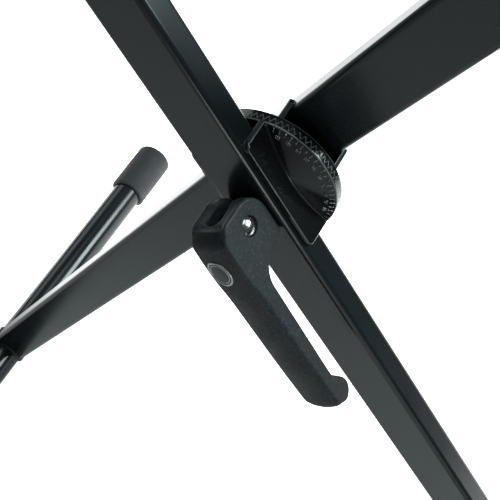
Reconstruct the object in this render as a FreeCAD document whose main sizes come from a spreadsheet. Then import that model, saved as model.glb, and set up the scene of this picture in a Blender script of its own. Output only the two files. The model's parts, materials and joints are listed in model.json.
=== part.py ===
"""Folding keyboard stand: two crossed legs that turn on a bolt and lock by toothed discs.

Two welded frames, front and rear, cross at a pivot. Each frame is a leg of
rectangular tube with a foot tube at its lower end and an arm tube at its upper end. Two
cast discs with face teeth sit between the legs, and a cam lever on a draw bolt clamps them
together. Opening the lever lets the bolt move back, and a spring parts the teeth, so that
the legs can be set to another angle, one tooth at a time.

Frame: X across the stand, Y along the pivot (front is -Y), Z up, in millimetres. The
origin is on the floor under the pivot, and the teeth mesh on the plane Y = 0. A piece of a
leg is drawn with X along its leg, Y along the pivot and Z across the leg, and then turned
to the leg's slope.
"""
import FreeCAD, Part
import math
import os

import Sketcher
from FreeCAD import Placement, Rotation, Vector

DIMENSIONS = (
    # The stance
    ("leg_angle", 57, "slope of each leg above the floor, degrees"),
    ("pivot_to_foot", 488, "pivot to the axis of the foot tube"),
    ("pivot_to_arm", 440, "pivot to the axis of the arm tube"),
    # Legs of rectangular tube
    ("leg_width", 30, "leg section across the leg"),
    ("leg_depth", 15, "leg section along the pivot"),
    ("leg_wall", 1.5, "wall of the leg tube"),
    ("leg_corner", 3, "outer corner radius of the leg tube"),
    ("leg_end_gap", 4, "end of the leg to the axis of the tube that it is welded to"),
    ("saddle_clearance", 0.1, "weld gap between a leg's end and its tube"),
    ("front_leg_offset", 6.5, "tooth plane to the near side of the front leg"),
    ("rear_leg_offset", 9.5, "tooth plane to the near side of the rear leg"),
    # Foot and arm tubes
    ("tube_diameter", 28, "outside of the foot and arm tubes"),
    ("tube_wall", 1.5, "wall of the foot and arm tubes"),
    ("foot_tube_length", 524, "length of a foot tube"),
    ("arm_tube_length", 330, "length of an arm tube"),
    ("tube_end_clearance", 0.1, "radial gap of a cap or sleeve on its tube"),
    # Rubber end caps
    ("cap_wall", 3.4, "thickness of a rubber end cap round its tube"),
    ("cap_depth", 49, "how far a cap goes over its tube"),
    ("cap_floor", 5, "thickness of a cap's end"),
    ("cap_rounding", 4, "radius round a cap's end"),
    ("cap_lip", 1.2, "bevel round a cap's mouth"),
    # Ribbed grips on the arm tubes
    ("grip_wall", 3.9, "thickness of a grip at its ribs"),
    ("grip_length", 78, "length of a grip"),
    ("grip_inset", 4, "gap between a grip and the end cap beside it"),
    ("grip_rib_pitch", 6, "spacing of a grip's ribs"),
    ("grip_groove_width", 2.4, "width of the grooves between ribs"),
    ("grip_groove_depth", 1.6, "depth of the grooves between ribs"),
    ("grip_grooves", 12, "number of grooves in a grip"),
    # Toothed discs
    ("disc_diameter", 70, "outside of the toothed discs"),
    ("tooth_count", 72, "face teeth round a disc"),
    ("tooth_ring_inner", 54, "inner diameter of the ring of teeth"),
    ("tooth_height", 2.2, "height of a tooth at the rim"),
    ("tooth_slope", 27.5, "slope of a tooth's flank from the pivot axis, degrees"),
    ("tooth_tip_clearance", 0.1, "gap over a tooth's tip at the rim"),
    ("tooth_flank_clearance", 0.03, "gap beside a tooth at the rim"),
    ("disc_recess", 1.3, "face inside the teeth, below the tooth plane"),
    ("front_rim_thickness", 2.5, "tooth plane to the back of the front rim"),
    ("rear_rim_thickness", 3.3, "tooth plane to the back of the rear rim"),
    ("disc_cone_angle", 18.4, "slope of the disc's back, degrees"),
    ("cheek_thickness", 2.4, "walls of the saddle on each side of the leg"),
    ("cheek_clearance", 0.1, "gap between the leg and each wall of its saddle"),
    ("front_cheek_reach", 19, "tooth plane to the edge of the front saddle"),
    ("rear_cheek_reach", 17, "tooth plane to the edge of the rear saddle"),
    ("cheek_rounding", 3.5, "radius of the saddle's free corners"),
    ("spring_pocket_diameter", 15, "pocket for the release spring"),
    ("front_pocket_floor", 4.5, "tooth plane to the front spring seat"),
    ("rear_pocket_floor", 6, "tooth plane to the rear spring seat"),
    # Draw bolt, nut, washer, spacers and spring
    ("bolt_diameter", 8, "shank of the draw bolt, M8"),
    ("bolt_clearance", 0.2, "radial gap round the draw bolt"),
    ("bolt_flats", 7, "width across the flats in front of the shank, and of the eye"),
    ("bolt_flats_end", 19, "tooth plane to the end of the flats"),
    ("bolt_end_chamfer", 0.8, "bevel of the bolt's threaded end"),
    ("bolt_beyond_nut", 1.9, "bolt end past the lock nut"),
    ("eye_diameter", 13, "eye of the draw bolt"),
    ("spacer_diameter", 14, "sleeve inside each leg round the bolt"),
    ("washer_diameter", 20, "washer behind the rear leg"),
    ("washer_thickness", 1.6, "washer behind the rear leg"),
    ("nut_width", 13, "lock nut across its flats"),
    ("nut_height", 8, "whole height of the lock nut"),
    ("nut_collar_height", 1.5, "collar that holds the nylon ring"),
    ("nut_collar_diameter", 11.4, "outside of the collar"),
    ("nut_chamfer", 0.7, "bevel of the nut's corners"),
    ("thread_fit", 0.02, "gap between the nut and the bolt"),
    ("spring_wire", 1.3, "wire of the release spring"),
    ("spring_coil_diameter", 11.5, "middle of the spring's wire, across the coil"),
    ("spring_turns", 3, "turns of the release spring"),
    ("spring_seat_clearance", 0.05, "gap at each end of the spring"),
    # Cam lever and its pin
    ("pin_to_leg", 14, "lever pin to the front leg's face, lever closed"),
    ("cam_drop", 2.5, "how much nearer the pin comes when the lever is open"),
    ("lever_swing", 90, "travel of the lever, degrees"),
    ("cam_clearance", 0.06, "gap between the closed cam and the leg"),
    ("lever_width", 21, "width of the lever"),
    ("lever_slot_width", 8, "slot for the bolt's eye"),
    ("eye_clearance", 0.8, "gap round the eye inside the slot"),
    ("slot_end", 10.3, "end of the slot on the lever's back, outward from the pin"),
    ("heel_end", 16.7, "end of the heel beyond the pin, along the leg"),
    ("heel_rounding", 3.5, "radius of the heel's corner"),
    ("heel_lean", 1.3, "how much the heel's end leans out under the grip"),
    ("throat_start", -3.6, "start of the hollow under the grip, outward from the pin"),
    ("throat_radius", 11, "hollow between the heel and the grip"),
    ("grip_inner_near", 7, "inner face of the grip at the throat"),
    ("grip_inner_far", 9.7, "inner face of the grip at its end"),
    ("bulb_centre", 102, "centre of the lever's round end, along the leg"),
    ("bulb_offset", 12, "centre of the lever's round end, outward from the pin"),
    ("bulb_radius", 7.8, "radius of the lever's round end"),
    ("neck_length", 11.5, "start of the neck to the centre of the round end"),
    ("neck_radius", 8, "hollow between the grip and the round end"),
    ("crown_radius", 1250, "slight crown of the lever's outer face"),
    ("head_corner", 9, "radius of the head's outer corner"),
    ("head_top", 17.2, "outer face at the head, outward from the pin"),
    ("lever_edge", 1.4, "rounding of the lever's edges"),
    ("pin_diameter", 6, "lever pin"),
    ("pin_fit", 0.02, "gap between the pin and the lever"),
    ("pin_running_fit", 0.05, "radial gap between the pin and the bolt's eye"),
    ("pin_head_diameter", 8.7, "heads of the pin"),
    ("pin_head_height", 1.6, "height of a head"),
    ("pin_head_proud", 0.6, "how far a head stands out of the lever"),
    ("counterbore_diameter", 9.8, "recess round a head of the pin"),
)

document = FreeCAD.newDocument("KeyboardStand")
sheet = document.addObject("Spreadsheet::Sheet", "Sizes")


class Size:
    """A dimension: its number, and the formula that binds it to the sheet."""

    def __init__(self, value, formula):
        self.value = value
        self.formula = formula

    @staticmethod
    def of(number):
        return number if isinstance(number, Size) else Size(number, f"({number})")

    def joined(self, sign, other, value):
        return Size(value, f"({self.formula} {sign} {other.formula})")

    def __add__(self, other):
        other = Size.of(other)
        return self.joined("+", other, self.value + other.value)

    def __sub__(self, other):
        other = Size.of(other)
        return self.joined("-", other, self.value - other.value)

    def __mul__(self, other):
        other = Size.of(other)
        return self.joined("*", other, self.value * other.value)

    def __truediv__(self, other):
        other = Size.of(other)
        return self.joined("/", other, self.value / other.value)

    def __neg__(self):
        return self * -1

    def __radd__(self, other):
        return Size.of(other) + self

    def __rsub__(self, other):
        return Size.of(other) - self

    def __rmul__(self, other):
        return Size.of(other) * self

    def __rtruediv__(self, other):
        return Size.of(other) / self


def sine(angle):
    return Size(math.sin(math.radians(angle.value)), f"sin({angle.formula})")


def cosine(angle):
    return Size(math.cos(math.radians(angle.value)), f"cos({angle.formula})")


def tangent(angle):
    return Size(math.tan(math.radians(angle.value)), f"tan({angle.formula})")


def root(size):
    return Size(math.sqrt(size.value), f"sqrt({size.formula})")


def fill_sheet():
    """Writes each dimension as a row, and returns them by name."""
    sizes = {}
    for row, (alias, value, meaning) in enumerate(DIMENSIONS, start=1):
        sheet.set(f"A{row}", meaning)
        sheet.set(f"B{row}", str(value))
        sheet.setAlias(f"B{row}", alias)
        sizes[alias] = Size(value, f"Sizes.{alias}")
    return sizes


D = fill_sheet()
ZERO = Size.of(0)


class Frame:
    """One of the two crossed frames: which way its foot lies and which side its leg is on."""

    def __init__(self, name, foot, side):
        self.name = name
        self.foot = foot
        self.side = side
        self.turn_axis = Vector(0, foot, 0)
        self.leg_offset = D[f"{name}_leg_offset"]

    def outward(self, distance):
        """A place on the pivot axis, measured from the tooth plane towards this leg."""
        return distance * self.side

    def span(self, near, far):
        """A stretch of the pivot axis between two such distances, lower end first."""
        ends = (self.outward(near), self.outward(far))
        return ends if self.side > 0 else ends[::-1]


FRONT = Frame("front", 1, -1)
REAR = Frame("rear", -1, 1)
FRAMES = (FRONT, REAR)

tube_radius = D["tube_diameter"] / 2
sleeve_bore = tube_radius + D["tube_end_clearance"]
cap_radius = sleeve_bore + D["cap_wall"]
pivot_height = D["pivot_to_foot"] * sine(D["leg_angle"]) + cap_radius
disc_radius = D["disc_diameter"] / 2
bolt_radius = D["bolt_diameter"] / 2
bolt_bore = bolt_radius + D["bolt_clearance"]
leg_half_width = D["leg_width"] / 2
leg_face = D["front_leg_offset"] + D["leg_depth"]
pin_distance = leg_face + D["pin_to_leg"]
closed_reach = D["pin_to_leg"] - D["cam_clearance"]
pin_head_seat = D["lever_width"] / 2 + D["pin_head_proud"] - D["pin_head_height"]
leg_back = D["rear_leg_offset"] + D["leg_depth"]
washer_back = leg_back + D["washer_thickness"]
nut_back = washer_back + D["nut_height"]


# --- Building blocks ----------------------------------------------------------------------

def turned_body(name, frame, along_pivot=ZERO):
    """A body whose X runs along a frame's leg, from the pivot towards the right."""
    body = document.addObject("PartDesign::Body", name)
    body.Placement = Placement(Vector(), Rotation(frame.turn_axis, 1))
    body.setExpression("Placement.Base.y", along_pivot.formula)
    body.setExpression("Placement.Base.z", pivot_height.formula)
    body.setExpression("Placement.Rotation.Angle", D["leg_angle"].formula)
    return body


def tube_body(name, frame, end, along_pivot=ZERO, flipped=False):
    """A body round the axis of a frame's foot or arm tube, with Y along the tube."""
    body = document.addObject("PartDesign::Body", name)
    body.Placement = Placement(Vector(), Rotation(Vector(0, 0, 1), 180 if flipped else 0))
    sideways = frame.foot if end == "foot" else -frame.foot
    upward = -1 if end == "foot" else 1
    reach = D[f"pivot_to_{end}"]
    body.setExpression("Placement.Base.x", (reach * cosine(D["leg_angle"]) * sideways).formula)
    body.setExpression("Placement.Base.y", along_pivot.formula)
    height = pivot_height + reach * sine(D["leg_angle"]) * upward
    body.setExpression("Placement.Base.z", height.formula)
    return body


def origin_plane(body, role):
    return next(item for item in body.Origin.OriginFeatures if item.Role == role)


def new_sketch(body, role, name, offset=ZERO):
    """A sketch on one of the body's own planes, moved along that plane's normal."""
    sketch = body.newObject("Sketcher::SketchObject", f"{body.Name}_{name}")
    sketch.AttachmentSupport = [(origin_plane(body, role), "")]
    sketch.MapMode = "FlatFace"
    sketch.setExpression("AttachmentOffset.Base.z", offset.formula)
    return sketch


def constrain(sketch, kind, geometry, point, size):
    """A dimension of the sketch, bound to the sheet."""
    place = (geometry,) if point is None else (geometry, point)
    index = sketch.addConstraint(Sketcher.Constraint(kind, *place, size.value))
    sketch.setExpression(f"Constraints[{index}]", size.formula)


def draw_circle(sketch, radius, x=ZERO, y=ZERO):
    centre = Vector(x.value, y.value, 0)
    circle = sketch.addGeometry(Part.Circle(centre, Vector(0, 0, 1), radius.value), False)
    constrain(sketch, "DistanceX", circle, 3, x)
    constrain(sketch, "DistanceY", circle, 3, y)
    constrain(sketch, "Radius", circle, None, radius)


def arc_round(centre, radius, start, end, turn):
    """The arc round a centre between two points, turning left (1) or right (-1)."""
    first, last = (start, end) if turn > 0 else (end, start)
    begin = math.atan2(first.y - centre.y, first.x - centre.x)
    finish = math.atan2(last.y - centre.y, last.x - centre.x)
    return Part.ArcOfCircle(Part.Circle(centre, Vector(0, 0, 1), radius), begin, finish)


def arc_edge(start, end, radius, turn):
    """The short arc between two points, turning left (1) or right (-1) on the way."""
    chord = end - start
    left = Vector(-chord.y, chord.x, 0) / chord.Length
    rise = math.sqrt(radius ** 2 - chord.Length ** 2 / 4)
    return arc_round((start + end) / 2 + left * (rise * turn), radius, start, end, turn)


class Corner:
    """A corner of an outline, and the edge that arrives there: a line, or an arc that has
    a radius or a centre. A smooth corner is where two edges are tangent. Its place is
    exact in the directions that are bound, and elsewhere follows from the tangency. A free
    arc's radius follows from its ends and the tangency too."""

    def __init__(self, x, y, radius=None, turn=1, centre=None, bound="xy", smooth=False,
                 free=False):
        self.place = Vector(Size.of(x).value, Size.of(y).value, 0)
        self.bounds = [(kind, Size.of(size)) for letter, kind, size in
                       (("x", "DistanceX", x), ("y", "DistanceY", y)) if letter in bound]
        self.radius = radius
        self.turn = turn
        self.centre = centre
        self.smooth = smooth
        self.free = free

    def arriving_edge(self, start):
        if self.centre:
            middle = Vector(self.centre[0].value, self.centre[1].value, 0)
            return arc_round(middle, self.radius.value, start, self.place, self.turn)
        if self.radius:
            return arc_edge(start, self.place, self.radius.value, self.turn)
        return Part.LineSegment(start, self.place)


def draw_outline(sketch, corners):
    """A closed outline. Each corner is (x, y), or (x, y, radius, turn) after an arc, or a
    Corner."""
    corners = [corner if isinstance(corner, Corner) else Corner(*corner)
               for corner in corners]
    edges = []
    for index, corner in enumerate(corners):
        edge = sketch.addGeometry(corner.arriving_edge(corners[index - 1].place), False)
        backwards = corner.radius and corner.turn < 0
        edges.append((edge, 2, 1) if backwards else (edge, 1, 2))
        if corner.centre:
            constrain(sketch, "DistanceX", edge, 3, corner.centre[0])
            constrain(sketch, "DistanceY", edge, 3, corner.centre[1])
        if corner.radius and not corner.free:
            constrain(sketch, "Radius", edge, None, corner.radius)
    for index, corner in enumerate(corners):
        arriving, _, arrival = edges[index]
        leaving, departure, _ = edges[(index + 1) % len(edges)]
        joint = "Tangent" if corner.smooth else "Coincident"
        sketch.addConstraint(Sketcher.Constraint(joint, arriving, arrival, leaving, departure))
        for kind, size in corner.bounds:
            constrain(sketch, kind, leaving, departure, size)


def draw_rounded_rectangle(sketch, left, right, low, high, radius):
    draw_outline(sketch, (
        (left + radius, low, radius, 1),
        (right - radius, low),
        (right, low + radius, radius, 1),
        (right, high - radius),
        (right - radius, high, radius, 1),
        (left + radius, high),
        (left, high - radius, radius, 1),
        (left, low + radius),
    ))


def extrude(body, kind, sketch, length=None):
    """A Pad or Pocket of the sketch, along its plane's normal; with no length, a cut
    both ways through everything."""
    feature = body.newObject(f"PartDesign::{kind}", f"{sketch.Name}_{kind}")
    feature.Profile = sketch
    if length is None:
        feature.Type = "ThroughAll"
        feature.SideType = "Symmetric"
    else:
        feature.setExpression("Length", length.formula)
        feature.Reversed = kind == "Pocket"
    sketch.Visibility = False
    return feature


def extrude_along_pivot(body, kind, name, low, high, draw):
    """A Pad or Pocket between two places on the pivot axis. The plane's normal is -Y."""
    sketch = new_sketch(body, "XZ_Plane", name, -high)
    draw(sketch)
    return extrude(body, kind, sketch, high - low)


def extrude_across_leg(body, kind, name, width, draw):
    """A Pad or Pocket of a side view, as wide on one side of the leg as on the other."""
    sketch = new_sketch(body, "XY_Plane", name, -width / 2)
    draw(sketch)
    return extrude(body, kind, sketch, width)


def turn(body, kind, name, corners, role="XY_Plane"):
    """A Revolution or Groove of a half section about its plane's upright axis."""
    sketch = new_sketch(body, role, name)
    draw_outline(sketch, corners)
    feature = body.newObject(f"PartDesign::{kind}", f"{sketch.Name}_{kind}")
    feature.Profile = sketch
    feature.ReferenceAxis = (sketch, ["V_Axis"])
    feature.Angle = 360
    sketch.Visibility = False
    return feature


def ring(name, body, outer, inner, low, high):
    """A plain tube or ring round the pivot axis or round a body's own Y."""

    def draw(sketch):
        draw_circle(sketch, outer)
        draw_circle(sketch, inner)

    extrude_along_pivot(body, "Pad", name, low, high, draw)
    return body


# --- Frames -------------------------------------------------------------------------------

def make_leg(frame):
    """Rectangular tube, its ends cut to sit round the foot and arm tubes."""
    body = turned_body(f"{frame.name}_leg", frame)
    low, high = frame.span(frame.leg_offset, frame.leg_offset + D["leg_depth"])
    wall = D["leg_wall"]
    foot_end = D["pivot_to_foot"] - D["leg_end_gap"]
    arm_end = D["pivot_to_arm"] - D["leg_end_gap"]
    left_end = arm_end if frame.foot > 0 else foot_end

    section = new_sketch(body, "YZ_Plane", "section", -left_end)
    draw_rounded_rectangle(section, low, high, -leg_half_width, leg_half_width, D["leg_corner"])
    draw_rounded_rectangle(section, low + wall, high - wall, wall - leg_half_width,
                           leg_half_width - wall, D["leg_corner"] - wall)
    extrude(body, "Pad", section, foot_end + arm_end)

    cuts = new_sketch(body, "XZ_Plane", "cuts")
    saddle = tube_radius + D["saddle_clearance"]
    draw_circle(cuts, saddle, D["pivot_to_foot"] * frame.foot)
    draw_circle(cuts, saddle, D["pivot_to_arm"] * -frame.foot)
    draw_circle(cuts, bolt_bore)
    extrude(body, "Pocket", cuts)
    return body


def make_leg_spacer(frame):
    """Sleeve inside the leg that keeps the clamp from crushing the tube."""
    body = turned_body(f"{frame.name}_leg_spacer", frame)
    near = frame.leg_offset + D["leg_wall"]
    far = frame.leg_offset + D["leg_depth"] - D["leg_wall"]
    return ring("sleeve", body, D["spacer_diameter"] / 2, bolt_bore, *frame.span(near, far))


def make_tube(frame, end):
    body = tube_body(f"{frame.name}_{end}_tube", frame, end)
    half = D[f"{end}_tube_length"] / 2
    return ring("tube", body, tube_radius, tube_radius - D["tube_wall"], -half, half)


def make_cap(frame, end, place):
    """Rubber cap pushed over the tube as far as its floor, with a rounded end."""
    half = D[f"{end}_tube_length"] / 2
    near = place == "near"
    name = f"{frame.name}_{end}_cap_{place}"
    body = tube_body(name, frame, end, -half if near else half, flipped=near)
    rounding = D["cap_rounding"]
    lip = D["cap_lip"]
    turn(body, "Revolution", "shell", (
        (ZERO, ZERO),
        (sleeve_bore, ZERO),
        (sleeve_bore, -D["cap_depth"]),
        (cap_radius - lip, -D["cap_depth"]),
        (cap_radius, lip - D["cap_depth"]),
        (cap_radius, D["cap_floor"] - rounding),
        (cap_radius - rounding, D["cap_floor"], rounding, 1),
        (ZERO, D["cap_floor"]),
    ))
    return body


def make_grip(frame, place):
    """Ribbed rubber sleeve on the arm tube, beside the end cap."""
    half_length = D["grip_length"] / 2
    centre = D["arm_tube_length"] / 2 - D["cap_depth"] - D["grip_inset"] - half_length
    side = -1 if place == "near" else 1
    body = tube_body(f"{frame.name}_arm_grip_{place}", frame, "arm", centre * side)
    radius = sleeve_bore + D["grip_wall"]
    ring("sleeve", body, radius, sleeve_bore, -half_length, half_length)

    run = D["grip_rib_pitch"] * (D["grip_grooves"] - 1)
    half_mouth = D["grip_groove_width"] / 2
    floor = radius - D["grip_groove_depth"]
    groove = turn(body, "Groove", "groove", (
        (floor, -run / 2 - half_mouth / 2),
        (radius + half_mouth, -run / 2 - half_mouth * 3 / 2),
        (radius + half_mouth, -run / 2 + half_mouth * 3 / 2),
        (floor, -run / 2 + half_mouth / 2),
    ))
    ribs = body.newObject("PartDesign::LinearPattern", f"{body.Name}_ribs")
    ribs.Originals = [groove]
    ribs.Direction = (origin_plane(body, "Y_Axis"), [""])
    ribs.setExpression("Length", run.formula)
    ribs.setExpression("Occurrences", D["grip_grooves"].formula)
    body.Tip = ribs
    return body


# --- Toothed discs ------------------------------------------------------------------------

def cut_teeth(body, frame):
    """Face teeth whose flanks, tips and roots all point at the centre of the mesh, so that
    the two discs seat fully at every tooth. The front disc has a tooth level with the
    pivot, and the rear disc has a notch there."""
    pitch = Size.of(360) / D["tooth_count"]
    half_height = D["tooth_height"] / 2
    depth = half_height + D["tooth_tip_clearance"]
    half_gap = disc_radius * tangent(pitch / 4) + D["tooth_flank_clearance"]
    slope = tangent(D["tooth_slope"])
    level = D["leg_angle"] * -frame.foot
    bearing = level + pitch / 2 if frame is FRONT else level

    sections = []
    margin = D["tooth_height"] / 2
    for name, radius in (("inner", D["tooth_ring_inner"] / 2 - margin),
                         ("outer", disc_radius + margin)):
        scale = radius / disc_radius
        sketch = new_sketch(body, "YZ_Plane", f"notch_{name}")
        sketch.AttachmentOffset = Placement(Vector(), Rotation(Vector(1, 0, 0), 1))
        sketch.setExpression("AttachmentOffset.Rotation.Angle", (bearing + 360).formula)
        sketch.setExpression("AttachmentOffset.Base.y", (-radius * sine(bearing)).formula)
        sketch.setExpression("AttachmentOffset.Base.z", (radius * cosine(bearing)).formula)
        root_half = (half_gap - depth * slope) * scale
        mouth = half_height * 3 / 2
        mouth_half = (half_gap + mouth * slope) * scale
        root_place = frame.outward(depth * scale)
        mouth_place = frame.outward(-mouth * scale)
        draw_outline(sketch, (
            (root_place, -root_half),
            (mouth_place, -mouth_half),
            (mouth_place, mouth_half),
            (root_place, root_half),
        ))
        sections.append(sketch)
    notch = body.newObject("PartDesign::SubtractiveLoft", f"{body.Name}_notch")
    notch.Profile = sections[0]
    notch.Sections = [sections[1]]
    notch.Ruled = True
    teeth = body.newObject("PartDesign::PolarPattern", f"{body.Name}_teeth")
    teeth.Originals = [notch]
    teeth.Axis = (origin_plane(body, "Y_Axis"), [""])
    teeth.Angle = 360
    teeth.Refine = False
    teeth.setExpression("Occurrences", D["tooth_count"].formula)
    body.Tip = teeth


def make_toothed_disc(frame):
    """Cast disc: a ring of face teeth inside, a cone behind, and a saddle for the leg."""
    body = turned_body(f"{frame.name}_toothed_disc", frame)
    pocket_floor = D[f"{frame.name}_pocket_floor"]
    rim_back = D[f"{frame.name}_rim_thickness"]
    pocket_radius = D["spring_pocket_diameter"] / 2
    ring_inner = D["tooth_ring_inner"] / 2
    tip = D["tooth_height"] / -2
    crest = D["rear_leg_offset"]
    crest_radius = disc_radius - (crest - rim_back) / tangent(D["disc_cone_angle"])
    turn(body, "Revolution", "plate", [
        (radius, frame.outward(distance)) for radius, distance in (
            (bolt_bore, pocket_floor),
            (pocket_radius, pocket_floor),
            (pocket_radius, D["disc_recess"]),
            (ring_inner, D["disc_recess"]),
            (ring_inner, tip * ring_inner / disc_radius),
            (disc_radius, tip),
            (disc_radius, rim_back),
            (crest_radius, crest),
            (bolt_bore, crest),
        )
    ])

    reach = D[f"{frame.name}_cheek_reach"]
    inner = leg_half_width + D["cheek_clearance"]
    outer = inner + D["cheek_thickness"]
    inner_end = root(disc_radius * disc_radius - inner * inner)
    outer_end = root(disc_radius * disc_radius - outer * outer)

    def draw_cheeks(sketch):
        for side in (1, -1):
            draw_outline(sketch, (
                (inner_end, inner * side),
                (outer_end, outer * side, disc_radius, side),
                (-outer_end, outer * side),
                (-inner_end, inner * side, disc_radius, side),
            ))

    low, high = frame.span(rim_back, reach)
    cheeks = extrude_along_pivot(body, "Pad", "cheeks", low, high, draw_cheeks)
    if frame is FRONT:
        def draw_seat(sketch):
            draw_outline(sketch, (
                (-disc_radius, -inner),
                (disc_radius, -inner),
                (disc_radius, inner),
                (-disc_radius, inner),
            ))

        low, high = frame.span(frame.leg_offset, crest + 1)
        extrude_along_pivot(body, "Pocket", "seat", low, high, draw_seat)
    round_edges(body, "corners", D["cheek_rounding"],
                lambda edge: is_level_arc(edge, frame.outward(reach).value))
    cut_teeth(body, frame)
    return body


def is_level_arc(edge, level):
    """Whether an edge is an arc of the disc's rim at one place on the pivot axis."""
    box = edge.BoundBox
    flat = abs(box.YMin - level) < 1e-4 and abs(box.YMax - level) < 1e-4
    return flat and isinstance(edge.Curve, Part.Circle)


def round_edges(body, name, radius, wanted):
    """A fillet on every edge of the body so far that the test picks."""
    document.recompute()
    solid = body.Tip
    picked = [f"Edge{number}" for number, edge in enumerate(solid.Shape.Edges, start=1)
              if wanted(edge)]
    if not picked:
        raise RuntimeError(f"{body.Name}: no edge for {name}")
    fillet = body.newObject("PartDesign::Fillet", f"{body.Name}_{name}")
    fillet.Base = (solid, picked)
    fillet.setExpression("Radius", radius.formula)
    return fillet


# --- Clamp --------------------------------------------------------------------------------

def make_draw_bolt():
    """Eye bolt: an eye for the lever pin, a stretch with two flats that stays in the
    lever's slot, and a round shank through both discs and legs."""
    body = turned_body("draw_bolt", FRONT)
    end = nut_back + D["bolt_beyond_nut"]
    chamfer = D["bolt_end_chamfer"]
    turn(body, "Revolution", "shank", (
        (ZERO, -D["bolt_flats_end"]),
        (bolt_radius, -D["bolt_flats_end"]),
        (bolt_radius, end - chamfer),
        (bolt_radius - chamfer, end),
        (ZERO, end),
    ))
    flat = D["bolt_flats"] / 2
    flat_end = root(bolt_radius * bolt_radius - flat * flat)

    def draw_flats(sketch):
        draw_outline(sketch, (
            (-flat_end, -flat, bolt_radius, 1),
            (flat_end, -flat),
            (flat_end, flat, bolt_radius, 1),
            (-flat_end, flat),
        ))

    extrude_along_pivot(body, "Pad", "flats", -pin_distance, -D["bolt_flats_end"], draw_flats)
    extrude_across_leg(body, "Pad", "eye", D["bolt_flats"],
                       lambda sketch: draw_circle(sketch, D["eye_diameter"] / 2, ZERO,
                                                  -pin_distance))
    hole = new_sketch(body, "XY_Plane", "eye_hole")
    draw_circle(hole, D["pin_diameter"] / 2 + D["pin_running_fit"], ZERO, -pin_distance)
    extrude(body, "Pocket", hole)
    return body


def make_washer():
    body = turned_body("rear_washer", FRONT)
    return ring("washer", body, D["washer_diameter"] / 2, bolt_bore, leg_back, washer_back)


def make_lock_nut():
    """Hexagon nut with bevelled corners and a collar for its nylon ring."""
    body = turned_body("lock_nut", FRONT)
    apothem = D["nut_width"] / 2
    corner = apothem / cosine(Size.of(30))
    collar_start = nut_back - D["nut_collar_height"]

    def draw_hexagon(sketch):
        draw_outline(sketch, (
            (corner, ZERO),
            (corner / 2, apothem),
            (-corner / 2, apothem),
            (-corner, ZERO),
            (-corner / 2, -apothem),
            (corner / 2, -apothem),
        ))

    extrude_along_pivot(body, "Pad", "hexagon", washer_back, collar_start, draw_hexagon)
    for name, level, inward in (("front", washer_back, 1), ("back", collar_start, -1)):
        turn(body, "Groove", f"bevel_{name}", (
            (corner - D["nut_chamfer"] * 2, level),
            (corner + D["nut_chamfer"], level - D["nut_chamfer"] * inward),
            (corner + D["nut_chamfer"], level + D["nut_chamfer"] * 3 / 2 * inward),
        ))
    extrude_along_pivot(body, "Pad", "collar", collar_start, nut_back,
                        lambda sketch: draw_circle(sketch, D["nut_collar_diameter"] / 2))
    bore = new_sketch(body, "XZ_Plane", "bore")
    draw_circle(bore, bolt_radius + D["thread_fit"])
    extrude(body, "Pocket", bore)
    return body


def make_release_spring():
    """Coil spring between the discs that parts the teeth when the lever opens."""
    body = turned_body("release_spring", FRONT)
    wire = D["spring_wire"] / 2
    start = D["spring_seat_clearance"] + wire - D["front_pocket_floor"]
    rise = D["rear_pocket_floor"] - D["spring_seat_clearance"] - wire - start
    profile = new_sketch(body, "XY_Plane", "wire")
    draw_circle(profile, wire, D["spring_coil_diameter"] / 2, start)
    coil = body.newObject("PartDesign::AdditiveHelix", "release_spring_coil")
    coil.Profile = profile
    coil.ReferenceAxis = (profile, ["V_Axis"])
    coil.Mode = "height-turns-angle"
    coil.setExpression("Height", rise.formula)
    coil.setExpression("Turns", D["spring_turns"].formula)
    return body


def cam_reach(angle):
    """How far the lever reaches from its pin towards the leg, at an opening angle. It
    falls evenly with the angle, which makes the cam an involute of a small circle."""
    return closed_reach - D["cam_drop"] * angle / D["lever_swing"]


def cam_point(angle):
    """The point of the cam that bears on the leg at an opening angle."""
    fall = D["cam_drop"] / (D["lever_swing"] * math.pi / 180)
    angle = Size.of(angle)
    along = fall * cosine(angle) - cam_reach(angle) * sine(angle)
    towards_leg = cam_reach(angle) * cosine(angle) + fall * sine(angle)
    return along, towards_leg


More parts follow.
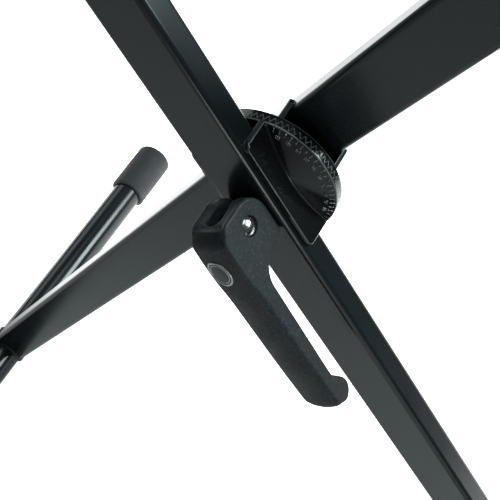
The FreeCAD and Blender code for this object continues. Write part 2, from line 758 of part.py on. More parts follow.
def lever_outline():
    """Side view of the lever round its pin, with Y towards the leg. It starts where the
    back bears on the leg when the lever is open, and goes round by the cam, the flat heel,
    the hollow under the grip, the round end, the crowned outer face and the head."""
    swing = D["lever_swing"].value
    back = -cam_reach(swing)
    outer_face = -D["head_top"]
    corner = D["head_corner"]
    corner_centre = (back + corner, outer_face + corner)
    side_end = D["heel_end"] + D["heel_lean"]
    heel_corner = D["heel_rounding"]
    bulb = D["bulb_radius"]
    bulb_centre = (D["bulb_centre"], -D["bulb_offset"])
    neck_start = D["bulb_centre"] - D["neck_length"]

    outline = [Corner(*cam_point(swing), smooth=True)]
    steps = 3
    for step in range(steps - 1, -1, -1):
        angle = swing * step / steps
        curve = cam_reach(angle + swing / steps / 2)
        outline.append(Corner(*cam_point(angle), curve, -1, bound="xy" if step else "y",
                              free=True, smooth=True))
    return outline + [
        Corner(D["heel_end"] - heel_corner, closed_reach, bound="y", smooth=True),
        Corner(D["heel_end"], closed_reach - heel_corner, heel_corner, -1,
               bound="x", smooth=True),
        Corner(side_end, -D["throat_start"], bound="x", smooth=True),
        Corner(side_end + D["throat_radius"], -D["grip_inner_near"], D["throat_radius"], 1,
               bound="y", smooth=True),
        Corner(neck_start, -D["grip_inner_far"], bound="y", smooth=True),
        Corner(D["bulb_centre"] - bulb * 0.75, bulb * 0.65 - D["bulb_offset"],
               D["neck_radius"], 1, bound="", smooth=True),
        Corner(D["bulb_centre"], -D["bulb_offset"] - bulb, bulb, -1, bulb_centre,
               bound="", smooth=True),
        Corner(back + corner, outer_face, D["crown_radius"], -1, bound="", smooth=True),
        Corner(back, outer_face + corner, corner, -1, corner_centre, bound="", smooth=True),
    ]


def make_clamp_lever():
    """Cam lever drawn about its pin, with X along the leg and -Y away from it."""
    body = turned_body("clamp_lever", FRONT, -pin_distance)
    extrude_across_leg(body, "Pad", "outline", D["lever_width"],
                       lambda sketch: draw_outline(sketch, lever_outline()))
    side = D["lever_width"].value / 2
    round_edges(body, "edges", D["lever_edge"], lambda edge: is_on_side(edge, side))

    eye_room = D["eye_diameter"] / 2 + D["eye_clearance"]
    half_slot = D["lever_slot_width"] / 2
    slot_run = closed_reach * 2

    def draw_eye_room(sketch):
        draw_outline(sketch, (
            (-slot_run, closed_reach * 2),
            (-slot_run, ZERO),
            (-eye_room, ZERO),
            (ZERO, -eye_room, eye_room, 1),
            (eye_room, ZERO, eye_room, 1),
            (eye_room, closed_reach * 2),
        ))

    extrude_across_leg(body, "Pocket", "eye_room", D["lever_slot_width"], draw_eye_room)
    back_slot = new_sketch(body, "YZ_Plane", "back_slot", -slot_run)
    round_end = half_slot - D["slot_end"]
    draw_outline(back_slot, (
        (closed_reach, -half_slot),
        (closed_reach, half_slot),
        (round_end, half_slot),
        (-D["slot_end"], ZERO, half_slot, 1),
        (round_end, -half_slot, half_slot, 1),
    ))
    extrude(body, "Pocket", back_slot, slot_run)

    pin_hole = new_sketch(body, "XY_Plane", "pin_hole")
    draw_circle(pin_hole, D["pin_diameter"] / 2 + D["pin_fit"])
    extrude(body, "Pocket", pin_hole)
    for name, start in (("lower", -D["lever_width"] / 2), ("upper", pin_head_seat)):
        recess = new_sketch(body, "XY_Plane", f"recess_{name}", start)
        draw_circle(recess, D["counterbore_diameter"] / 2)
        extrude(body, "Pocket", recess, D["lever_width"] / 2 - pin_head_seat)
    return body


def is_on_side(edge, side):
    """Whether an edge lies in one of the lever's two flat sides."""
    box = edge.BoundBox
    return box.ZLength < 1e-4 and abs(abs(box.ZMin) - side) < 1e-4


def make_lever_pin():
    """Pin riveted in the lever, with a domed head in each of the lever's recesses."""
    body = turned_body("lever_pin", FRONT, -pin_distance)
    radius = D["pin_diameter"] / 2
    head = D["pin_head_diameter"] / 2
    top = D["lever_width"] / 2 + D["pin_head_proud"]
    dome = D["pin_head_height"] / 2
    dome_radius = (head * head + dome * dome) / (dome * 2)
    turn(body, "Revolution", "pin", (
        (ZERO, -top),
        (head, dome - top, dome_radius, 1),
        (head, -pin_head_seat),
        (radius, -pin_head_seat),
        (radius, pin_head_seat),
        (head, pin_head_seat),
        (head, top - dome),
        (ZERO, top, dome_radius, 1),
    ), role="XZ_Plane")
    return body


# --- Assembly -----------------------------------------------------------------------------

def make_frame(frame):
    pieces = [
        make_leg(frame),
        make_leg_spacer(frame),
        make_toothed_disc(frame),
    ]
    for end in ("foot", "arm"):
        pieces.append(make_tube(frame, end))
        pieces += [make_cap(frame, end, place) for place in ("near", "far")]
    pieces += [make_grip(frame, place) for place in ("near", "far")]
    return pieces


CUTS = ("PartDesign::Pocket", "PartDesign::Groove", "PartDesign::SubtractiveLoft")


def check(pieces):
    """Stops if any object of the document failed or any piece isn't one sound solid."""
    for item in document.Objects:
        if "Invalid" in item.State or "Error" in item.State:
            raise RuntimeError(f"{item.Name} failed: {item.State}")
    for piece in pieces:
        shape = piece.Shape
        if shape.isNull() or not shape.isValid() or len(shape.Solids) != 1:
            raise RuntimeError(f"{piece.Label} isn't one valid solid")
        volume = None
        for feature in piece.Group:
            if feature.TypeId in CUTS and abs(feature.Shape.Volume - volume) < 1e-3:
                raise RuntimeError(f"{feature.Name} cuts nothing")
            if feature.isDerivedFrom("PartDesign::Feature"):
                volume = feature.Shape.Volume


pieces = [piece for frame in FRAMES for piece in make_frame(frame)] + [
    make_draw_bolt(),
    make_washer(),
    make_lock_nut(),
    make_release_spring(),
    make_clamp_lever(),
    make_lever_pin(),
]
document.recompute()
check(pieces)
os.makedirs("parts", exist_ok=True)
for piece in pieces:
    piece.Shape.exportStep(f"parts/{piece.Label}.step")
    print(f"{piece.Label}: {piece.Shape.Volume:.1f} mm3")
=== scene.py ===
"""Folding keyboard stand: the finishes and fine shapes of its frame, toothed hub and lever."""
import json
from functools import reduce
from math import cos, pi, radians, sin, tan

import bmesh
import bpy
import numpy as np
from bpy.props import FloatProperty, FloatVectorProperty, IntProperty, PointerProperty
from mathutils import Euler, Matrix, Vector
from mathutils.geometry import tessellate_polygon


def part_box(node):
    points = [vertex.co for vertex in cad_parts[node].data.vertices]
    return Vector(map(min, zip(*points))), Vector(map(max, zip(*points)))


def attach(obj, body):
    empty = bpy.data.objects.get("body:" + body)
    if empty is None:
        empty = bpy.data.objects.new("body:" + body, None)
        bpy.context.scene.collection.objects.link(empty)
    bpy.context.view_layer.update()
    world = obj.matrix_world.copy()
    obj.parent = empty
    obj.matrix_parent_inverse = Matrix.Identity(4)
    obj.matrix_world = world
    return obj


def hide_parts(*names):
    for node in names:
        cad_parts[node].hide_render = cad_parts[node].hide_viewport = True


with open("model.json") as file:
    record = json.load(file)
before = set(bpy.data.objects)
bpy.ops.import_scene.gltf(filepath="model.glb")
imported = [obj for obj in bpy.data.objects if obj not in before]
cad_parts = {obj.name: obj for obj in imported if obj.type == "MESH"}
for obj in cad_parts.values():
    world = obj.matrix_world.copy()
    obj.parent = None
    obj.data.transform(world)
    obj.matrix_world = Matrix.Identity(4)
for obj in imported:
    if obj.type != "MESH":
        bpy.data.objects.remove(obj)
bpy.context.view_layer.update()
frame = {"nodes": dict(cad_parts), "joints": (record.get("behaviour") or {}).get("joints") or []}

bl_info = {
    "name": "Folding Keyboard Stand",
    "version": (1, 0, 0),
    "blender": (4, 5, 0),
    "location": "3D Viewport > Sidebar > Stand",
    "description": "Dresses a crossed-leg keyboard stand with its castings, lever and rubber",
    "category": "Add Mesh",
}

MM = 0.001
JOINTS = {joint["name"]: joint for joint in frame["joints"]}
PIVOT = np.array([0.0, 0.0, JOINTS["fold_hinge"]["pos_m"][2]])
PIN_OUT = -JOINTS["lever_hinge"]["pos_m"][1] / MM
LEG_SLOPE = radians(57)
FRONT, REAR = -1, 1
SIDES = {"front": FRONT, "rear": REAR}

# Sizes shared with the packed model, in millimetres. A dictionary gives one size for the
# front disc and one for the rear disc.
DISC_RADIUS = 35.0
TOOTH_RING_INNER = 27.0
CONE_SLOPE = tan(radians(18.4))
CREST = 9.5
SEAT = {FRONT: 6.5, REAR: 9.5}
RIM_BACK = {FRONT: 2.5, REAR: 3.3}
POCKET_FLOOR = {FRONT: 4.5, REAR: 6.0}
CHEEK_REACH = {FRONT: 19.0, REAR: 17.0}
CHEEK_INNER, CHEEK_OUTER = 15.1, 17.5
TUBE_RADIUS = 14.0
SLEEVE_BORE = 14.1
FOOT_REACH, ARM_REACH = 488.0, 440.0
FOOT_CAP_MOUTH, ARM_CAP_MOUTH, GRIP_START = 213.0, 116.0, 34.0
NUT_OUT, WASHER_OUT = 26.1, 24.5
LEVER_HALF_WIDTH, SLOT_HALF_WIDTH, HEAD_RADIUS = 10.5, 4.0, 9.0
CAM_REACH, CAM_LIFT = 13.94, 2.5


def linear(hex_colour):
    """sRGB hex value to the linear colour that Blender's sockets take."""
    channels = np.array([int(hex_colour[i:i + 2], 16) for i in (1, 3, 5)]) / 255
    return (*np.where(channels <= 0.04045, channels / 12.92,
                      ((channels + 0.055) / 1.055) ** 2.4), 1.0)


# ---- sizes and colours

def length(name, description, millimetres):
    """Slider for a length."""
    return FloatProperty(name=name, description=description, default=millimetres * MM,
                         min=0.0, precision=5, unit="LENGTH")


def power(name, description, watts):
    """Slider for a lamp's power."""
    return FloatProperty(name=name, description=description, default=watts, min=0.0,
                         unit="POWER")


def colour(name, description, hex_colour):
    """Colour picker that starts at an sRGB hex value."""
    return FloatVectorProperty(name=name, description=description, subtype="COLOR", size=4,
                               min=0.0, max=1.0, default=linear(hex_colour))


class HubSizes(bpy.types.PropertyGroup):
    tooth_count: IntProperty(name="Teeth", description="Face teeth round each disc",
                             default=72, min=12)
    tooth_height: length("Tooth height", "Height of a tooth at the rim", 2.2)
    cheek_edge: length("Cheek edge", "Rounding of the saddle walls' edges", 0.5)
    cheek_corner: length("Cheek corner", "Radius of the saddle walls' free corners", 3.5)
    fillet: length("Fillet", "Hollow where a saddle wall runs into the cone", 0.8)
    mark_height: length("Mark height", "How far the cast marks stand up", 0.32)
    mark_width: length("Mark width", "Width of a cast mark", 0.5)


class LeverSizes(bpy.types.PropertyGroup):
    crown: length("Crown", "How far the outer face falls off to its edges", 1.6)
    head_edge: length("Head edge", "Rounding of the head's edges", 1.3)
    grip_edge: length("Grip edge", "Rounding of the grip's outer edges", 2.7)
    dish: length("Dish", "Depth of the hollow round the slot", 0.8)
    slot_lip: length("Slot lip", "Rounding of the slot's mouth", 0.7)
    badge_length: length("Badge length", "Long way across the oval badge", 14.4)
    badge_width: length("Badge width", "Short way across the oval badge", 13.0)


class RubberSizes(bpy.types.PropertyGroup):
    cap_rounding: length("Cap rounding", "Radius round a cap's end", 4.0)
    cap_lip: length("Cap lip", "Bevel round a cap's mouth", 1.2)
    rib_pitch: length("Rib pitch", "Spacing of a grip's ribs", 6.0)
    groove_depth: length("Groove depth", "Depth of the grooves between ribs", 1.6)


class FixingSizes(bpy.types.PropertyGroup):
    thread_pitch: length("Thread pitch", "Rise of the draw bolt's thread", 1.25)
    thread_depth: length("Thread depth", "Depth of the draw bolt's thread", 0.6)
    weld_bead: length("Weld bead", "Radius of the bead round a leg's end", 1.5)
    weld_ripple: length("Weld ripple", "Spacing of the ripples in a bead", 1.7)


class StandColours(bpy.types.PropertyGroup):
    coat: colour("Powder coat", "Tubes and legs", "#191f22")
    enamel: colour("Enamel", "Toothed discs", "#111314")
    # Painted highlight on the toothed discs' edges and tooth tips.
    painted_highlight: colour("Highlighted enamel", "Edges of the toothed discs", "#7d8587")
    rubber: colour("Rubber", "End caps and grips", "#26292b")
    nylon: colour("Nylon", "Cam lever", "#24292c")
    # Painted glint on the discs' raised marks.
    mark_glint: colour("Glinting marks", "Discs' raised marks where the enamel is thin", "#c6cacb")
    zinc: colour("Zinc plate", "Nut, washer and lever pin", "#dfe2e3")
    # Painted shade: the draw bolt darkened to near-black for its eye in the lever's slot.
    oxide: colour("Black oxide", "Draw bolt", "#2a2c2d")
    badge_field: colour("Badge field", "Middle of the badge", "#1b1d1f")
    nylon_ring: colour("Lock ring", "Nylon ring of the lock nut", "#d8dad2")


class StudioLight(bpy.types.PropertyGroup):
    floor_glow: FloatProperty(name="Floor glow", default=1.6, min=0.0,
                              description="Light that the paper gives off behind the stand")
    air: FloatProperty(name="Air", default=0.05, min=0.0,
                       description="Light from all round")
    key_box: power("Key softbox", "Softbox high up to the right, behind the stand", 36.0)
    back_box: power("Back softbox", "Softbox to the left, behind the stand", 2.2)
    low_box: power("Low softbox", "Small low softbox to the right, in front", 1.0)
    top_box: power("Top softbox", "Softbox above the stand", 10.0)


# ---- places and shapes

def leg_place(side, out=0.0, order=(0, 1, 2)):
    """Origin and directions of a leg's own frame at the pivot: along the leg to its foot,
    across it, and outwards from the plane where the toothed discs meet."""
    along = np.array([-side * cos(LEG_SLOPE), 0.0, -sin(LEG_SLOPE)])
    outwards = np.array([0.0, side, 0.0])
    axes = np.array([along, np.cross(outwards, along), outwards])
    return PIVOT + outwards * out * MM, axes[list(order)]


def tube_place(node, y_end, direction):
    """Place at one end of a foot or arm tube, looking along it."""
    low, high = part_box(node)
    third = np.array([0.0, direction, 0.0])
    first = np.array([1.0, 0.0, 0.0])
    origin = np.array([(low[0] + high[0]) / 2, y_end * MM, (low[2] + high[2]) / 2])
    return origin, np.array([first, np.cross(third, first), third])


def grid(*coordinates):
    """Points from their coordinates, each spread over the rows and columns of the rest."""
    return np.stack(np.broadcast_arrays(*coordinates), -1)


def full_turn(count):
    """Angles once round a circle."""
    return np.linspace(0, 2 * pi, count, endpoint=False)


def on_lathe(radius, angle, height):
    """Points at radius x (cos t, sin t) and a height, for each radius and each angle t."""
    return grid(radius * np.cos(angle), radius * np.sin(angle), height)


def turned(profile, segments=96):
    """Shape turned on a lathe: each (radius, height) of the profile goes round the third
    axis, at radius x (cos t, sin t)."""
    radius, height = np.asarray(profile, float).T[:, :, None]
    return on_lathe(radius, full_turn(segments), height)


def swung(first, second, angle, share):
    """Turns evenly from one arm of an angle to the other, for shares from 0 to 1."""
    return (np.sin((1 - share) * angle) * first + np.sin(share * angle) * second
            ) / np.sin(angle)


def softened(corners, rounding, steps=4, closed=True):
    """Outline through the corners, each rounded by an arc that touches both its sides and
    takes up no more than a share of either. A point just before and after each arc keeps
    the shading of the flat parts flat."""
    side_share, just_past = 0.46, 1.08
    corners = np.asarray(corners, float)
    rounding = np.broadcast_to(rounding, len(corners))
    outline = []
    for i, (corner, radius) in enumerate(zip(corners, rounding)):
        if radius <= 0 or (not closed and i in (0, len(corners) - 1)):
            outline.append(corner[None])
            continue
        before = corners[i - 1] - corner
        after = corners[(i + 1) % len(corners)] - corner
        lengths = np.linalg.norm(before), np.linalg.norm(after)
        before, after = before / lengths[0], after / lengths[1]
        half = np.arccos(np.clip(before @ after, -1, 1)) / 2
        reach = min(radius / np.tan(half), side_share * min(lengths))
        radius = reach * np.tan(half)
        middle = (before + after) / np.linalg.norm(before + after)
        centre = corner + middle * radius / np.sin(half)
        curve = centre + swung(corner + before * reach - centre,
                               corner + after * reach - centre, pi - 2 * half,
                               np.linspace(0, 1, steps + 1)[:, None])
        outline += [corner[None] + before * reach * just_past, curve,
                    corner[None] + after * reach * just_past]
    return np.vstack(outline)


def arc(centre, radius, start, end, count):
    """Points round an arc: centre + radius x (cos t, sin t), t in degrees."""
    t = np.radians(np.linspace(start, end, count))
    return np.asarray(centre) + radius * grid(np.cos(t), np.sin(t))


def eased(value, low, high):
    """0 below low and 1 above high, with t squared x (3 - 2 t) between."""
    t = np.clip((value - low) / (high - low), 0, 1)
    return t * t * (3 - 2 * t)


def quads_over(index):
    """Faces between the neighbouring points of a grid whose columns join round."""
    looped = np.hstack([index, index[:, :1]])
    return grid(looped[:-1, :-1], looped[:-1, 1:],
                looped[1:, 1:], looped[1:, :-1]).reshape(-1, 4)


def skin(points, closed_rows=False):
    """Closed skin over a grid of points, rows by columns. Neighbouring points make a quad
    and the columns join round. The first and last rows are filled flat, unless the rows
    join round as well."""
    index = np.arange(points.shape[0] * points.shape[1]).reshape(points.shape[:2])
    if closed_rows:
        return points.reshape(-1, 3), quads_over(np.vstack([index, index[:1]])), []
    return points.reshape(-1, 3), quads_over(index), [index[0][::-1], index[-1]]


def slab(outline, low, high, edge, steps=4):
    """Flat shape with rounded edges: the outline moves in along its normals by
    edge x (1 - sin t) while the height moves out by edge x (1 - cos t). A row just past
    each edge keeps the shading of the flats flat."""
    just_past = 1.15 * edge
    outline = np.asarray(outline, float)
    tangent = np.roll(outline, -1, 0) - np.roll(outline, 1, 0)
    tangent /= np.linalg.norm(tangent, axis=1, keepdims=True)
    following = np.roll(outline, -1, 0)
    area = (outline[:, 0] * following[:, 1] - outline[:, 1] * following[:, 0]).sum()
    inward = grid(-tangent[:, 1], tangent[:, 0]) * np.sign(area)
    t = np.linspace(0, pi / 2, steps + 1)
    inset = np.concatenate([[just_past], edge * (1 - np.sin(t)), [0]])
    rise = np.concatenate([[0], edge * (1 - np.cos(t)), [just_past]])
    inset = np.concatenate([inset, inset[::-1]])
    height = np.concatenate([low + rise, high - rise[::-1]])
    flat = outline + inward * inset[:, None, None]
    return skin(grid(flat[..., 0], flat[..., 1], height[:, None]))


def tube_along(path, radius, sides=12):
    """Closed bead along a path: each ring stands square to the path, at radius x
    (cos t first + sin t second), and its radius may change from ring to ring."""
    path = np.asarray(path, float)
    forward = np.roll(path, -1, 0) - np.roll(path, 1, 0)
    forward /= np.linalg.norm(forward, axis=1, keepdims=True)
    first = np.cross(forward, (0.93, 0.17, 0.31))     # along no stretch of a seam
    first /= np.linalg.norm(first, axis=1, keepdims=True)
    second = np.cross(forward, first)
    angle = full_turn(sides)[:, None]
    ring = first[:, None] * np.cos(angle) + second[:, None] * np.sin(angle)
    return skin(path[:, None] + np.broadcast_to(radius, len(path))[:, None, None] * ring,
                closed_rows=True)


def mark_edges(mesh):
    """Gives each face a number for how far it turns from its neighbours: one minus the mean
    cosine between its normal and the normals at its corners, each the sum of the normals of
    the faces round it, weighted by area. Broad faces come out near 0, narrow roundings
    higher."""
    def read(items, name, width=1, kind=float):
        values = np.empty(len(items) * width, kind)
        items.foreach_get(name, values)
        return values

    normal = read(mesh.polygons, "normal", 3).reshape(-1, 3)
    area, sides = read(mesh.polygons, "area"), read(mesh.polygons, "loop_total", 1, np.int32)
    point = read(mesh.loops, "vertex_index", 1, np.int32)
    owner = np.repeat(np.arange(len(sides)), sides)
    around = np.zeros((len(mesh.vertices), 3))
    np.add.at(around, point, (normal * area[:, None])[owner])
    around /= np.maximum(np.linalg.norm(around, axis=1), 1e-15)[:, None]
    turn = 1 - (normal[owner] * around[point]).sum(axis=1)
    layer = mesh.attributes.new("edge_turn", "FLOAT", "FACE")
    layer.data.foreach_set("value", np.bincount(owner, turn, len(sides)) / sides)


def piece(name, body, material, shells, place, replaced=(), crease=38):
    """Joins skins drawn in millimetres into one object in its place on the stand, and
    seats it on the body that carries it. Edges that turn by more than the crease, in
    degrees, stay sharp. At the others the modifier leans the normals towards the broad
    faces, so that flat faces look flat."""
    origin, axes = place
    starts = np.cumsum([0] + [len(points) for points, _, _ in shells])
    points = np.vstack([points for points, _, _ in shells])
    quads = np.vstack([quads + start for (_, quads, _), start in zip(shells, starts)])
    fills = [fill + start for (_, _, fills), start in zip(shells, starts) for fill in fills]
    mesh = bpy.data.meshes.new(name)
    mesh.vertices.add(len(points))
    mesh.vertices.foreach_set("co", (origin + MM * points @ axes).ravel())
    corners = np.concatenate([quads.ravel(), *fills])
    counts = np.array([4] * len(quads) + [len(fill) for fill in fills])
    mesh.loops.add(len(corners))
    mesh.loops.foreach_set("vertex_index", corners.astype(np.int32))
    mesh.polygons.add(len(counts))
    mesh.polygons.foreach_set("loop_start", (np.cumsum(counts) - counts).astype(np.int32))
    mesh.update(calc_edges=True)
    if mesh.validate():
        raise RuntimeError(f"{name} has a broken face")
    shaped = bmesh.new()
    shaped.from_mesh(mesh)
    bmesh.ops.recalc_face_normals(shaped, faces=shaped.faces)
    shaped.to_mesh(mesh)
    shaped.free()
    mark_edges(mesh)
    mesh.shade_smooth()
    mesh.set_sharp_from_angle(angle=radians(crease))
    made = bpy.data.objects.new(name, mesh)
    bpy.context.scene.collection.objects.link(made)
    even = made.modifiers.new("even_normals", "WEIGHTED_NORMAL")
    even.mode, even.weight, even.keep_sharp = "FACE_AREA_WITH_ANGLE", 75, True
    mesh.materials.append(material)
    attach(made, body)
    if replaced:
        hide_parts(*replaced)
    return made


# ---- finishes

def add(tree, kind, settings=(), links=()):
    """Adds a node to a material, sets its inputs and properties and links its inputs."""
    node = tree.nodes.new(kind)
    for key, value in dict(settings).items():
        if isinstance(key, str) and hasattr(node, key) and key not in node.inputs:
            setattr(node, key, value)
        else:
            node.inputs[key].default_value = value
    for key, source in dict(links).items():
        tree.links.new(source, node.inputs[key])
    return node


def shade(tint, factor):
    """A lighter or darker tint of a colour."""
    return (*(np.array(tint[:3]) * factor), 1.0)


class Surface:
    """A new material with a Principled shader, whose constant values are set on it, and
    the patterns that vary it. They follow Object coordinates, with sizes in millimetres."""

    def __init__(self, name, constants):
        self.material = bpy.data.materials.new(name)
        self.material.use_nodes = True
        self.tree = self.material.node_tree
        self.tree.nodes.clear()
        self.shader = add(self.tree, "ShaderNodeBsdfPrincipled",
                          {key.replace("_", " "): value for key, value in constants.items()})
        add(self.tree, "ShaderNodeOutputMaterial", links={"Surface": self.shader.outputs[0]})
        self.place = add(self.tree, "ShaderNodeTexCoord").outputs["Object"]

    def noise(self, size, detail=2.0, roughness=0.5):
        """Cloudy pattern with patches of about one size."""
        return add(self.tree, "ShaderNodeTexNoise",
                   {"Scale": 1 / (size * MM), "Detail": detail, "Roughness": roughness},
                   {"Vector": self.place}).outputs["Fac"]

    def ramp(self, source, start, end, low=0.0, high=1.0, **how):
        """Goes from low to high while the source goes from start to end."""
        return add(self.tree, "ShaderNodeMapRange",
                   {**how, "From Min": start, "From Max": end, "To Min": low, "To Max": high},
                   {"Value": source}).outputs[0]

    def product(self, first, second):
        """One pattern times another."""
        return add(self.tree, "ShaderNodeMath", {"operation": "MULTIPLY"},
                   {0: first, 1: second}).outputs[0]

    def mix(self, share, dark, light):
        """Colour that goes from dark to light with the share. Dark may be a mix itself."""
        settings, links = {"data_type": "RGBA", 7: tuple(light)}, {0: share}
        if isinstance(dark, bpy.types.NodeSocket):
            links[6] = dark
        else:
            settings[6] = tuple(dark)
        return add(self.tree, "ShaderNodeMix", settings, links).outputs[2]

    def give(self, source, name):
        """Links a pattern to an input of the shader."""
        self.tree.links.new(source, self.shader.inputs[name])

    def tone(self, share, dark, light):
        """Base colour from dark to light."""
        self.give(self.mix(share, dark, light), "Base Color")

    def gloss(self, source, start, end, low, high):
        """Roughness from low to high while the source goes from start to end."""
        self.give(self.ramp(source, start, end, low, high), "Roughness")

    def relief(self, height, strength, depth):
        """Fine relief, which only tilts the surface."""
        bump = add(self.tree, "ShaderNodeBump", {"Strength": strength, "Distance": depth * MM},
                   {"Height": height})
        self.give(bump.outputs[0], "Normal")


def finish(name, **constants):
    """Turns a function that puts patterns on a surface into one that gives the material,
    made at the first call."""
    def wrap(pattern):
        def material(settings=None):
            if name not in bpy.data.materials:
                pattern(Surface(name, constants), settings)
            return bpy.data.materials[name]
        material.__doc__ = pattern.__doc__
        return material
    return wrap


@finish("gloss_black_powder_coat", IOR=1.5)
def gloss_powder_coat(surface, colours):
    """Black polyester powder coat on drawn steel tube, baked. The eye sees deep black with
    soft reflections that ripple a little (orange peel), and a gloss that wanders over a
    hand's width."""
    haze = surface.noise(55, 3.0)
    surface.tone(haze, colours.coat, shade(colours.coat, 1.5))
    surface.gloss(haze, 0.3, 0.7, 0.18, 0.24)
    surface.relief(surface.noise(1.6), 0.05, 0.02)


@finish("black_enamel_on_zinc_casting", IOR=1.5)
def cast_enamel(surface, colours):
    """Black stoving enamel over die-cast zinc: a deeper black than the tubes, glossy, with
    the faint unevenness of the casting under it and a slow drift in depth. The enamel draws
    thin over edges and tooth tips, which come up paler."""
    cast = surface.noise(1.3, 4.0)
    turn = add(surface.tree, "ShaderNodeAttribute",
               {"attribute_name": "edge_turn"}).outputs["Fac"]
    # Painted highlight on edges and tooth tips: how much pale grey a face gets, from how far it
    # turns.
    painted_highlight = surface.product(surface.ramp(turn, 0.006, 0.02),
                           surface.ramp(turn, 0.2, 0.35, 0.75, 0.12))
    deep = surface.mix(surface.noise(12, 3.0), colours.enamel, shade(colours.enamel, 1.6))
    surface.tone(painted_highlight, deep, colours.painted_highlight)
    surface.gloss(cast, 0.35, 0.65, 0.11, 0.15)
    surface.relief(cast, 0.1, 0.02)


@finish("matte_black_rubber", IOR=1.52, Sheen_Weight=0.12, Sheen_Roughness=0.6)
def moulded_rubber(surface, colours):
    """Natural rubber from an etched mould: dark grey and matte, with a fine pebble and the
    paler dust that stays in it. The pebble is 0.7 mm, coarser than the real 0.3, so that
    it shows."""
    pebble = add(surface.tree, "ShaderNodeTexVoronoi", {"Scale": 1 / (0.7 * MM)},
                 {"Vector": surface.place})
    dust = surface.noise(9, 6.0)
    surface.tone(dust, colours.rubber, shade(colours.rubber, 1.9))
    surface.gloss(dust, 0.3, 0.7, 0.62, 0.85)
    surface.relief(pebble.outputs["Distance"], 0.35, 0.06)


@finish("charcoal_glass_filled_nylon", IOR=1.53, Specular_IOR_Level=0.28)
def grained_nylon(surface, colours):
    """Glass-filled nylon from a spark-eroded mould: charcoal and satin, with an even sandy
    grain and small paler specks where the glass shows. The grain is 1.3 mm, coarser than
    the real 0.3, so that it shows."""
    sand = surface.noise(1.3, 5.0, 0.7)
    surface.tone(surface.ramp(sand, 0.52, 0.68, 0.0, 0.8),
                 colours.nylon, shade(colours.nylon, 3.2))
    surface.gloss(surface.noise(14), 0.3, 0.7, 0.44, 0.56)
    surface.relief(sand, 0.7, 0.14)


@finish("bright_zinc_plate", Metallic=1.0)
def zinc_plate(surface, colours):
    """Bright zinc plate on turned steel: cool silver with a few duller patches of
    passivate."""
    patch = surface.noise(2.5, 3.0)
    surface.tone(patch, shade(colours.zinc, 0.8), colours.zinc)
    surface.gloss(patch, 0.3, 0.7, 0.12, 0.26)


@finish("bolt_steel_painted_shade", Metallic=1.0)
def bolt_painted_shade(surface, colours):
    """Oiled black oxide on a forged bolt: a near-black metal with broad soft highlights and
    the cloudiness that the bath leaves."""
    clouding = surface.noise(2, 3.0)
    # Painted shade: the whole bolt near-black, with a random cloudiness.
    surface.tone(clouding, colours.oxide, shade(colours.oxide, 2.2))
    surface.gloss(clouding, 0.3, 0.7, 0.22, 0.34)


@finish("marks_painted_glint", IOR=1.5, Metallic=0.5)
def painted_glint_marks(surface, colours):
    """The discs' raised marks, where handling has rubbed the black enamel thin over the
    casting: mid grey metal glints through, broken up."""
    patchy = surface.noise(0.8, 3.0)
    # Painted glint: pale grey on the raised marks where the noise is high, dark grey elsewhere.
    surface.tone(surface.ramp(patchy, 0.38, 0.6), shade(colours.enamel, 4.0), colours.mark_glint)
    surface.gloss(patchy, 0.0, 1.0, 0.2, 0.35)


@finish("oil_tempered_spring_wire", Metallic=1.0)
def spring_steel(surface, _colours):
    """Oil-tempered spring wire: a brown-grey metal, clouded by the heat and the oil."""
    drawn = surface.noise(0.8, 3.0)
    surface.tone(drawn, linear("#5f5a53"), linear("#87827a"))
    surface.gloss(drawn, 0.3, 0.7, 0.28, 0.42)


@finish("black_badge_lacquer", IOR=1.5)
def badge_lacquer(surface, colours):
    """Black lacquer in the badge's tray: smooth and glossy, with a faint cloudiness."""
    cloud = surface.noise(3)
    surface.tone(cloud, colours.badge_field, shade(colours.badge_field, 1.8))
    surface.gloss(cloud, 0.0, 1.0, 0.18, 0.32)


@finish("bright_nickel", Metallic=1.0)
def nickel_rim(surface, _colours):
    """Bright nickel on the badge's pressed rim: warm silver, dulled by handling."""
    patchy = surface.noise(0.6, 4.0)
    surface.tone(patchy, linear("#a9aaa8"), linear("#dcdcd8"))
    surface.gloss(patchy, 0.0, 1.0, 0.2, 0.42)


@finish("milky_nylon", IOR=1.53, Subsurface_Weight=0.15, Subsurface_Scale=0.001)
def clear_nylon(surface, colours):
    """Unfilled nylon of the lock ring: milky, a little translucent and waxy."""
    milk = surface.noise(1.5)
    surface.tone(milk, shade(colours.nylon_ring, 0.85), colours.nylon_ring)
    surface.gloss(milk, 0.0, 1.0, 0.35, 0.5)


@finish("white_seamless_paper", Roughness=0.9, Base_Color=linear("#e6e7e7"),
        Emission_Color=linear("#ffffff"))
def seamless_paper(surface, light):
    """White seamless paper, lit from below behind the stand: bright beyond it, and pale
    grey in front and to the sides. All of it looks paler to the camera than it lights the
    stand."""
    for_all, for_camera = 0.09, 0.8
    spot = add(surface.tree, "ShaderNodeSeparateXYZ", links={"Vector": surface.place})
    edges = (("Y", 0.02, 0.14), ("Y", 1.5, 1.0), ("X", -1.3, -0.8), ("X", 0.9, 0.45))
    glow = reduce(surface.product, [
        surface.ramp(spot.outputs[axis], start, end, interpolation_type="SMOOTHSTEP")
        for axis, start, end in edges])
    seen = add(surface.tree, "ShaderNodeLightPath").outputs["Is Camera Ray"]
    pale = add(surface.tree, "ShaderNodeMath",
               {"operation": "MULTIPLY_ADD", 1: for_camera, 2: for_all}, {0: seen})
    lit = add(surface.tree, "ShaderNodeMath",
              {"operation": "MULTIPLY_ADD", 1: light.floor_glow},
              {0: glow, 2: pale.outputs[0]})
    surface.give(lit.outputs[0], "Emission Strength")


